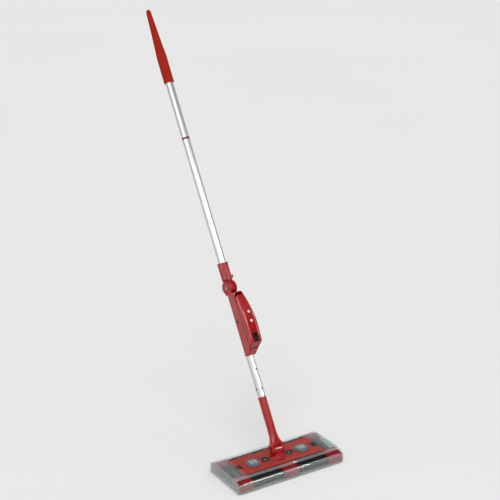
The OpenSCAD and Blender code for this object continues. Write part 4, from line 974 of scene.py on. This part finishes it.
def case_surface(inset=0.0):
    """Grid of the whole case, drawn in by inset all round. Rows run along the handle, over a
    rounded edge and a flat cap at each end; the panel is sunk into the front by smooth steps
    across and along it. Gives the points and the faces outside the rocker's and the socket's
    openings."""
    first, last = (CASE_START + share * CASE_LENGTH for share in PANEL)
    rocker_end = ROCKER_HALF[1]
    # Rows stand close together at the panel's ends, the rocker's ends and the socket
    step = np.array([-0.5, -0.2, 0.0, 0.2, 0.5])
    lines = np.concatenate(
        [
            np.linspace(CASE_START + 1.6, CASE_START + 20, 12),
            np.linspace(CASE_START + 21.5, first - 0.9, 7),
            first + step,
            [ROCKER_S - rocker_end - 0.4, ROCKER_S - rocker_end],
            np.linspace(ROCKER_S - 6, ROCKER_S + 6, 5),
            [ROCKER_S + rocker_end, ROCKER_S + rocker_end + 0.4],
            np.linspace(ROCKER_S + 13, SOCKET_S - 5, 14),
            SOCKET_S + np.linspace(-4.2, 4.2, 15),
            [last - 3.0, *(last + step), last + 2.0],
            np.linspace(last + 4, CASE_END - 2.6, 26),
        ]
    )
    turn = np.linspace(0, QUARTER, 6)
    low_r, top_r = 1.4, 2.4
    rows = [
        (np.full(3, CASE_START), np.full(3, low_r)),
        (CASE_START + low_r - low_r * np.cos(turn), low_r * (1 - np.sin(turn))),
        (lines, np.zeros(len(lines))),
        (CASE_END - top_r + top_r * np.sin(turn), top_r * (1 - np.cos(turn))),
        (np.full(3, CASE_END), np.full(3, top_r)),
    ]
    s, draw_in = (np.concatenate(part) for part in zip(*rows))
    # Rows of the caps, as shares of the way from the caps' middle to their rim
    cap_y = -6.0
    cap = np.ones(len(s))
    cap[:3] = [0, 0.6, 0.92]
    cap[-3:] = [0.85, 0.45, 0]
    u = (s - CASE_START) / CASE_LENGTH
    side = np.concatenate(
        [[0, 0.08], np.linspace(0.13, 0.36, 16), np.linspace(0.4, 0.94, 12), [1.0]]
    )
    across = [0, 2.2, 4.4, 6.5, 6.9, 8.6, 10.6, 11.1, 11.4, 11.6, 11.8, 12.1, 13.1]
    x, y = case_outline(u, draw_in + inset, side, across)
    sunk = smooth_step(-np.abs(x), -PANEL_HALF - PANEL_STEP, -PANEL_HALF + PANEL_STEP)
    sunk = sunk * smooth_step(s, first - PANEL_STEP, first + PANEL_STEP)[:, None]
    sunk = sunk * smooth_step(-s, -last - PANEL_STEP, -last + PANEL_STEP)[:, None]
    y = y + PANEL_DEPTH * np.where(y < FRONT_Y, sunk, 0)
    x = x * cap[:, None]
    y = cap_y + (y - cap_y) * cap[:, None]
    local = np.stack([x, y, s[:, None] + 0 * x], -1)
    quads = grid_quads(*x.shape)
    cx, cy, cs = local.reshape(-1, 3)[quads].mean(1).T
    rocker = (np.abs(cx) < ROCKER_HALF[0]) & (np.abs(cs - ROCKER_S) < rocker_end) & (cy < FRONT_Y)
    socket = (cx < 0) & (np.hypot(cy - SOCKET_Y, cs - SOCKET_S) < SOCKET_R)
    return local, quads[~(rocker | socket)]


def cut_shell(mesh, side, gap_mm):
    """Keeps the part of a case mesh behind the seam (side 1) or in front of it (side -1), less
    half the gap."""
    work = bmesh.new()
    work.from_mesh(mesh)
    bmesh.ops.bisect_plane(
        work,
        geom=work.verts[:] + work.edges[:] + work.faces[:],
        plane_co=on_handle([0, SEAM_Y + side * gap_mm / 2, 0]),
        plane_no=handle_axes()[1] * side,
        clear_inner=True,
        dist=1e-7,
    )
    work.to_mesh(mesh)
    work.free()


def add_wall(piece, thickness):
    """Gives a surface a wall on its inner side."""
    wall = piece.modifiers.new("wall", "SOLIDIFY")
    wall.thickness = thickness
    wall.offset = -1


class SWEEPER_OT_battery_case(bpy.types.Operator):
    """Battery case: two shells with a seam, the sunk panel and the cheeks of the fold joint"""

    bl_idname = "sweeper.battery_case"
    bl_label = "Battery case"

    def execute(self, context):
        sizes = context.scene.sweeper_sizes
        local, quads = case_surface()
        points = on_handle(local).reshape(-1, 3)
        shells = (("case_face", -1, "case_front_shell"), ("case_back", 1, "case_rear_shell"))
        for name, side, node in shells:
            mesh = mesh_from(name, points, quads)
            tidy_mesh(mesh)
            cut_shell(mesh, side, sizes.seam_gap / MM)
            piece = place_piece(mesh, name, "stem", "red_plastic", "body", (node,), SOFT_ANGLE)
            add_wall(piece, sizes.shell_wall)
            seam = piece.modifiers.new("seam_edge", "BEVEL")
            seam.width = 0.4 * MM
            seam.segments = 2
            seam.limit_method = "ANGLE"
            seam.angle_limit = math.radians(60)
        cheek_in, cheek_out = 6.0, 11.0
        for side, name in ((-1, "fold_cheek_left"), (1, "fold_cheek_right")):
            x0, x1 = sorted((side * cheek_in, side * cheek_out))
            cheek = plate_points(17.4, 12.0, reach=17.5, x0=x0, x1=x1, edge=2.0, crown=1.0)
            cheek = on_handle(cheek * np.array([1, 1, -1]) + np.array([0, 0, FOLD_S]))
            surface_piece(name, cheek, "stem", "red_plastic", "body", ("case_rear_shell",))
        # Painted shade in the seam: a black strip of the same outline, drawn in, that darkens the seam
        # between the shells
        shade_strip_inset, shade_strip_half, shade_strip_wall, side_band = 1.4, 2.6, 0.6 * MM, 2.0
        local, quads = case_surface(shade_strip_inset)
        centres = local.reshape(-1, 3)[quads].mean(1)
        widest = np.abs(local[..., 0]).max(1)[quads[:, 0] // local.shape[1]]
        beside = np.abs(centres[:, 0]) > widest - side_band
        strip = quads[(np.abs(centres[:, 1] - SEAM_Y) < shade_strip_half) & beside]
        mesh = mesh_from("seam_shade_strip", on_handle(local).reshape(-1, 3), strip)
        tidy_mesh(mesh, outward=False)
        lip = place_piece(mesh, "seam_shade_strip", "stem", "black_plastic", "black", (), SOFT_ANGLE)
        add_wall(lip, shade_strip_wall)
        return {"FINISHED"}


class SWEEPER_OT_case_fittings(bpy.types.Operator):
    """Rocker switch, indicator lenses and charging socket"""

    bl_idname = "sweeper.case_fittings"
    bl_label = "Case fittings"

    def execute(self, context):
        edge = context.scene.sweeper_sizes.moulded_edge * FINE
        rounded_copy("switch_body", edge, "switch", "stem", "black_plastic")
        rounded_copy("rocker", edge, "switch", "switch", "black_plastic")
        paint_nodes(["indicator_lenses"], "lens")
        paint_nodes(["battery_cells"], "cell")
        paint_nodes(["circuit_board"], "board")
        # Socket: the bore from its floor out to the rounded rim, then the outside back to the
        # floor, turned about its own axis. Depths run across the case.
        bore_r, rim_r, floor, rim, back = 1.8, 3.6, -3.2, -12.6, -9.0
        section = [(0, floor), (bore_r, floor), (bore_r, rim), (rim_r, rim), (rim_r, back), (0, back)]
        ring = turned_points(rounded_line(section, [0.2, 0.5, 0.6, 0.2]), columns=40)
        local = np.stack([ring[..., 2], ring[..., 0] + SOCKET_Y, ring[..., 1] + SOCKET_S], -1)
        name, replaced = "charging_socket_rim", ("charging_socket",)
        surface_piece(name, on_handle(local), "stem", "black_plastic", "black", replaced)
        return {"FINISHED"}


# ---------------------------------------------------------------- fold joint and grip


def collar_points():
    """The fold joint's collar. Its radius is that of its core, raised by eight ribs round it and
    by a ring at each end; each rise is a smooth step of about half a millimetre."""
    core, rib_r, low_r, top_r = 11.2, 13.4, 13.5, 14.0
    s = np.concatenate(
        [
            [COLLAR_START] * 2,
            COLLAR_START + np.array([0.15, 0.6, 2.3, 2.7]),
            np.linspace(COLLAR_START + 3.2, COLLAR_END - 3.2, 16),
            COLLAR_END - np.array([2.8, 2.5, 2.2, 0.7, 0.25, 0.0, 0.0]),
        ]
    )
    a = np.linspace(0, 2 * math.pi, 160, endpoint=False)
    rib_pitch = math.pi / 4
    # Distance round the collar from the middle of the nearest gap between two ribs
    from_gap = np.abs((a / rib_pitch + 0.5) % 1.0 - 0.5) * rib_pitch * rib_r
    rib = smooth_step(from_gap, 3.05, 3.65)
    base = core + (rib_r - core) * rib[None, :] + 0 * s[:, None]
    low_ring = 1 - smooth_step(s, COLLAR_START + 2.3, COLLAR_START + 2.7)[:, None]
    top_ring = smooth_step(s, COLLAR_END - 2.8, COLLAR_END - 2.4)[:, None]
    r = base * (1 - low_ring) * (1 - top_ring) + low_r * low_ring + top_r * top_ring
    r[:3] = np.array([0, low_r - 0.7, low_r - 0.15])[:, None]
    r[-3:] = np.array([top_r - 0.2, top_r - 0.8, 9.4])[:, None]
    return np.stack([r * np.cos(a), r * np.sin(a), s[:, None] + 0 * r], -1)


class SWEEPER_OT_fold_joint(bpy.types.Operator):
    """Fold joint: tongue, ribbed collar, pin and release button"""

    bl_idname = "sweeper.fold_joint"
    bl_label = "Fold joint"

    def execute(self, context):
        name, edge = "fold_collar_moulding", context.scene.sweeper_sizes.moulded_edge
        mesh = grid_mesh(name, on_handle(collar_points()))
        tongue = plate_points(15.0, 11.5, reach=20.0, x0=-5.7, x1=5.7, edge=0.8)
        tongue = on_handle(tongue + np.array([0, 0, FOLD_S]))
        join_meshes(mesh, grid_mesh("tongue", tongue))
        tidy_mesh(mesh)
        place_piece(mesh, name, "handle", "red_plastic", "body", ("fold_collar",), SOFT_ANGLE)
        rounded_copy("fold_release", edge, "dark", "latch", "dark_red_plastic", segments=3)
        paint_nodes(["fold_pin"], "steel")
        return {"FINISHED"}


def grip_radius(u):
    """Radius of the grip at a share u of its length: straight to the waist, then tapering to the
    tip as the 0.85th power of the way, and rounded off as an ellipse past it."""
    waist, tip, low_r, tip_r = 0.36, 0.955, 12.6, 6.2
    k = (np.clip(u, waist, tip) - waist) / (tip - waist)
    r = low_r - (low_r - tip_r) * k**0.85
    past = np.clip((u - tip) / (1 - tip), 0, 1)
    return r * np.sqrt(np.maximum(0.0, 1 - past**2))


class SWEEPER_OT_grip(bpy.types.Operator):
    """Ribbed grip with its round tip"""

    bl_idname = "sweeper.grip"
    bl_label = "Grip"

    def execute(self, context):
        sizes = context.scene.sweeper_sizes
        # Radius along the grip, less a groove of the rib depth at every rib pitch. A groove's
        # section is a raised cosine cubed, and the grooves fade out at both ends.
        pitch, depth = sizes.grip_rib_pitch / MM, sizes.grip_rib_depth / MM
        ribbed_end, cap_step, cap_step_depth = 178, 181.0, 0.35
        ribbed = np.arange(1.2, ribbed_end, pitch / 8)
        s = np.concatenate([ribbed, np.linspace(ribbed_end, GRIP_LENGTH, 22)[1:]])
        wave = ((1 + np.cos(2 * math.pi * s / pitch)) / 2) ** 3
        fade = smooth_step(s, 6, 12) * (1 - smooth_step(s, 160, 170))
        r = grip_radius(s / GRIP_LENGTH) - depth * wave * fade
        # A shallow step marks the end cap
        r = r - cap_step_depth * np.exp(-(((s - cap_step) / 0.7) ** 2))
        start = rounded_line([(9.4, 0), (12.6, 0), (12.6, 1.2)], [0.9])
        profile = np.concatenate([[(0, 0.4)], start, np.stack([r, s], 1)[1:]])
        profile[-1, 0] = 0
        points = turned_points(profile, columns=64) + np.array([0, 0, GRIP_START])
        grip, smooth = on_handle(points), 60
        surface_piece("grip_moulding", grip, "handle", "grip_rubber", "grip", ("grip",), smooth)
        return {"FINISHED"}


# ---------------------------------------------------------------- stage


def add_lamp(name, kind, energy, aim):
    """A lamp that shines along aim. Its pitch is the angle of aim from straight down, and its yaw
    the direction of aim over the floor."""
    lamp = bpy.data.lights.new(name, kind)
    lamp.energy = energy
    holder = bpy.data.objects.new(name, lamp)
    bpy.context.scene.collection.objects.link(holder)
    pitch = math.atan2(math.hypot(aim[0], aim[1]), -aim[2])
    holder.rotation_euler = (pitch, 0, math.atan2(aim[1], aim[0]) - QUARTER)
    return holder


def add_softbox(name, power, width, height, place, target):
    """A softbox seen only in glossy surfaces: a lit oblong that faces a target."""
    box = add_lamp(name, "AREA", power, np.subtract(target, place))
    box.location = place
    box.data.shape = "RECTANGLE"
    box.data.size, box.data.size_y = width, height
    box.visible_diffuse = False
    box.visible_transmission = False


def studio_world(level, background):
    """Even soft light of the given level, with the pale background where the camera sees past
    the floor. Glossy surfaces see a studio: the pale backdrop beyond the sweeper, which turns
    smoothly to the dark room on the camera's side and above it."""
    backdrop, dark, pale = (0.37, 0.93, 0.0), 0.06, 0.82
    world = bpy.data.worlds.new("studio_light")
    world.use_nodes = True
    tree = world.node_tree
    tree.nodes.clear()
    way = add_node(tree, "TexCoord", {}).outputs["Generated"]
    beyond = add_node(tree, "VectorMath", {"operation": "DOT_PRODUCT", 0: way, 1: backdrop})
    height = add_node(tree, "SeparateXYZ", {0: way}).outputs["Z"]
    facing = {"Value": beyond.outputs["Value"], "From Min": -0.1, "From Max": 0.45}
    room = add_node(tree, "MapRange", facing)
    top = {"Value": height, "From Min": 0.4, "From Max": 0.5, "To Min": 1.0, "To Max": 0.0}
    below_top = add_node(tree, "MapRange", top)
    share = add_node(tree, "Math", {"operation": "MULTIPLY", 0: room, 1: below_top})
    glow = add_node(
        tree, "Math", {"operation": "MULTIPLY_ADD", 0: share, 1: pale - dark, 2: dark}
    )
    white = (1, 1, 1, 1)
    light = add_node(tree, "Background", {"Color": white, "Strength": level})
    seen = add_node(tree, "Background", {"Color": background, "Strength": 1.0})
    studio = add_node(tree, "Background", {"Color": white, "Strength": glow})
    rays = add_node(tree, "LightPath", {}).outputs
    direct = add_node(
        tree,
        "Math",
        {"operation": "MAXIMUM", 0: rays["Is Camera Ray"], 1: rays["Is Transmission Ray"]},
    )
    mirrored = add_node(tree, "MixShader", {0: rays["Is Glossy Ray"], 1: light, 2: studio})
    mix = add_node(tree, "MixShader", {0: direct, 1: mirrored, 2: seen})
    add_node(tree, "OutputWorld", {"Surface": mix})
    bpy.context.scene.world = world


class SWEEPER_OT_stage(bpy.types.Operator):
    """Pale floor, soft studio light and the camera"""

    bl_idname = "sweeper.stage"
    bl_label = "Stage"

    def execute(self, context):
        scene = context.scene
        # Matt studio paper: an even pale floor with the faint fibre of the paper
        white, half = tuple(scene.sweeper_colours.floor_white), 12.0
        skin = {"Roughness": 0.75, "IOR": 1.4, "Specular IOR Level": 0.2}
        corners = [(-half, -half, 0), (half, -half, 0), (half, half, 0), (-half, half, 0)]
        mesh = mesh_from("floor", corners, [[0, 1, 2, 3]])
        mesh.materials.append(mottled("studio_paper", darker(white, 0.96), white, 900, 1.0, skin))
        floor = bpy.data.objects.new("floor", mesh)
        scene.collection.objects.link(floor)
        studio_world(0.5, linear_colour("#e9e9e9"))
        for name, strength, degrees, aim in (
            ("top_light", 0.75, 26, (0.1, 0.2, -0.9)),
            ("key_light", 0.75, 28, (0.55, 0.55, -1.0)),
            ("fill_light", 0.25, 40, (-0.7, 0.5, -1.0)),
        ):
            add_lamp(name, "SUN", strength, aim).data.angle = math.radians(degrees)
        # Two broad boxes, and a narrow one for the line of light along the cover's front crest
        add_softbox("front_box", 46, 4.6, 2.0, (-1.7, -2.0, 2.2), (0, 0.3, 0.5))
        add_softbox("left_box", 20, 1.2, 2.0, (-2.6, 0.2, 1.3), (0, 0.3, 0.5))
        add_softbox("crest_box", 10.0, 0.09, 0.7, (0.48, -0.63, 0.98), (-0.1, -0.07, 0.02))
        camera = bpy.data.cameras.new("camera")
        camera.sensor_width = 36.0
        camera.lens = 100.8
        camera_object = bpy.data.objects.new("camera", camera)
        camera_object.location = (-1.62726, -2.47069, 1.68935)
        camera_object.rotation_euler = (math.radians(69.06), 0, math.radians(-32.11))
        scene.collection.objects.link(camera_object)
        scene.camera = camera_object
        scene.view_settings.view_transform = "Standard"
        return {"FINISHED"}


# ---------------------------------------------------------------- add-on

PIECES = (
    SWEEPER_OT_clear_cover,
    SWEEPER_OT_deck,
    SWEEPER_OT_release_buttons,
    SWEEPER_OT_brushes,
    SWEEPER_OT_undercarriage,
    SWEEPER_OT_foot,
    SWEEPER_OT_neck,
    SWEEPER_OT_tubes,
    SWEEPER_OT_battery_case,
    SWEEPER_OT_case_fittings,
    SWEEPER_OT_fold_joint,
    SWEEPER_OT_grip,
    SWEEPER_OT_stage,
)


class SWEEPER_PT_panel(bpy.types.Panel):
    """Lists the steps that build the sweeper, and its sizes and colours"""

    bl_label = "Carpet Sweeper"
    bl_idname = "SWEEPER_PT_panel"
    bl_space_type = "VIEW_3D"
    bl_region_type = "UI"
    bl_category = "Sweeper"

    def draw(self, context):
        layout = self.layout
        for piece in PIECES:
            layout.operator(piece.bl_idname)
        for group in (context.scene.sweeper_sizes, context.scene.sweeper_colours):
            box = layout.box()
            for name in group.__annotations__:
                box.prop(group, name)


CLASSES = (SweeperSizes, SweeperColours, *PIECES, SWEEPER_PT_panel)


def register():
    """Adds the classes and the two groups of settings."""
    for item in CLASSES:
        bpy.utils.register_class(item)
    bpy.types.Scene.sweeper_sizes = bpy.props.PointerProperty(type=SweeperSizes)
    bpy.types.Scene.sweeper_colours = bpy.props.PointerProperty(type=SweeperColours)


def unregister():
    """Takes them away again."""
    del bpy.types.Scene.sweeper_colours
    del bpy.types.Scene.sweeper_sizes
    for item in reversed(CLASSES):
        bpy.utils.unregister_class(item)


def main():
    """Builds every piece in order."""
    register()
    for piece in PIECES:
        group, name = piece.bl_idname.split(".")
        getattr(getattr(bpy.ops, group), name)()


if __name__ == "__main__":
    main()
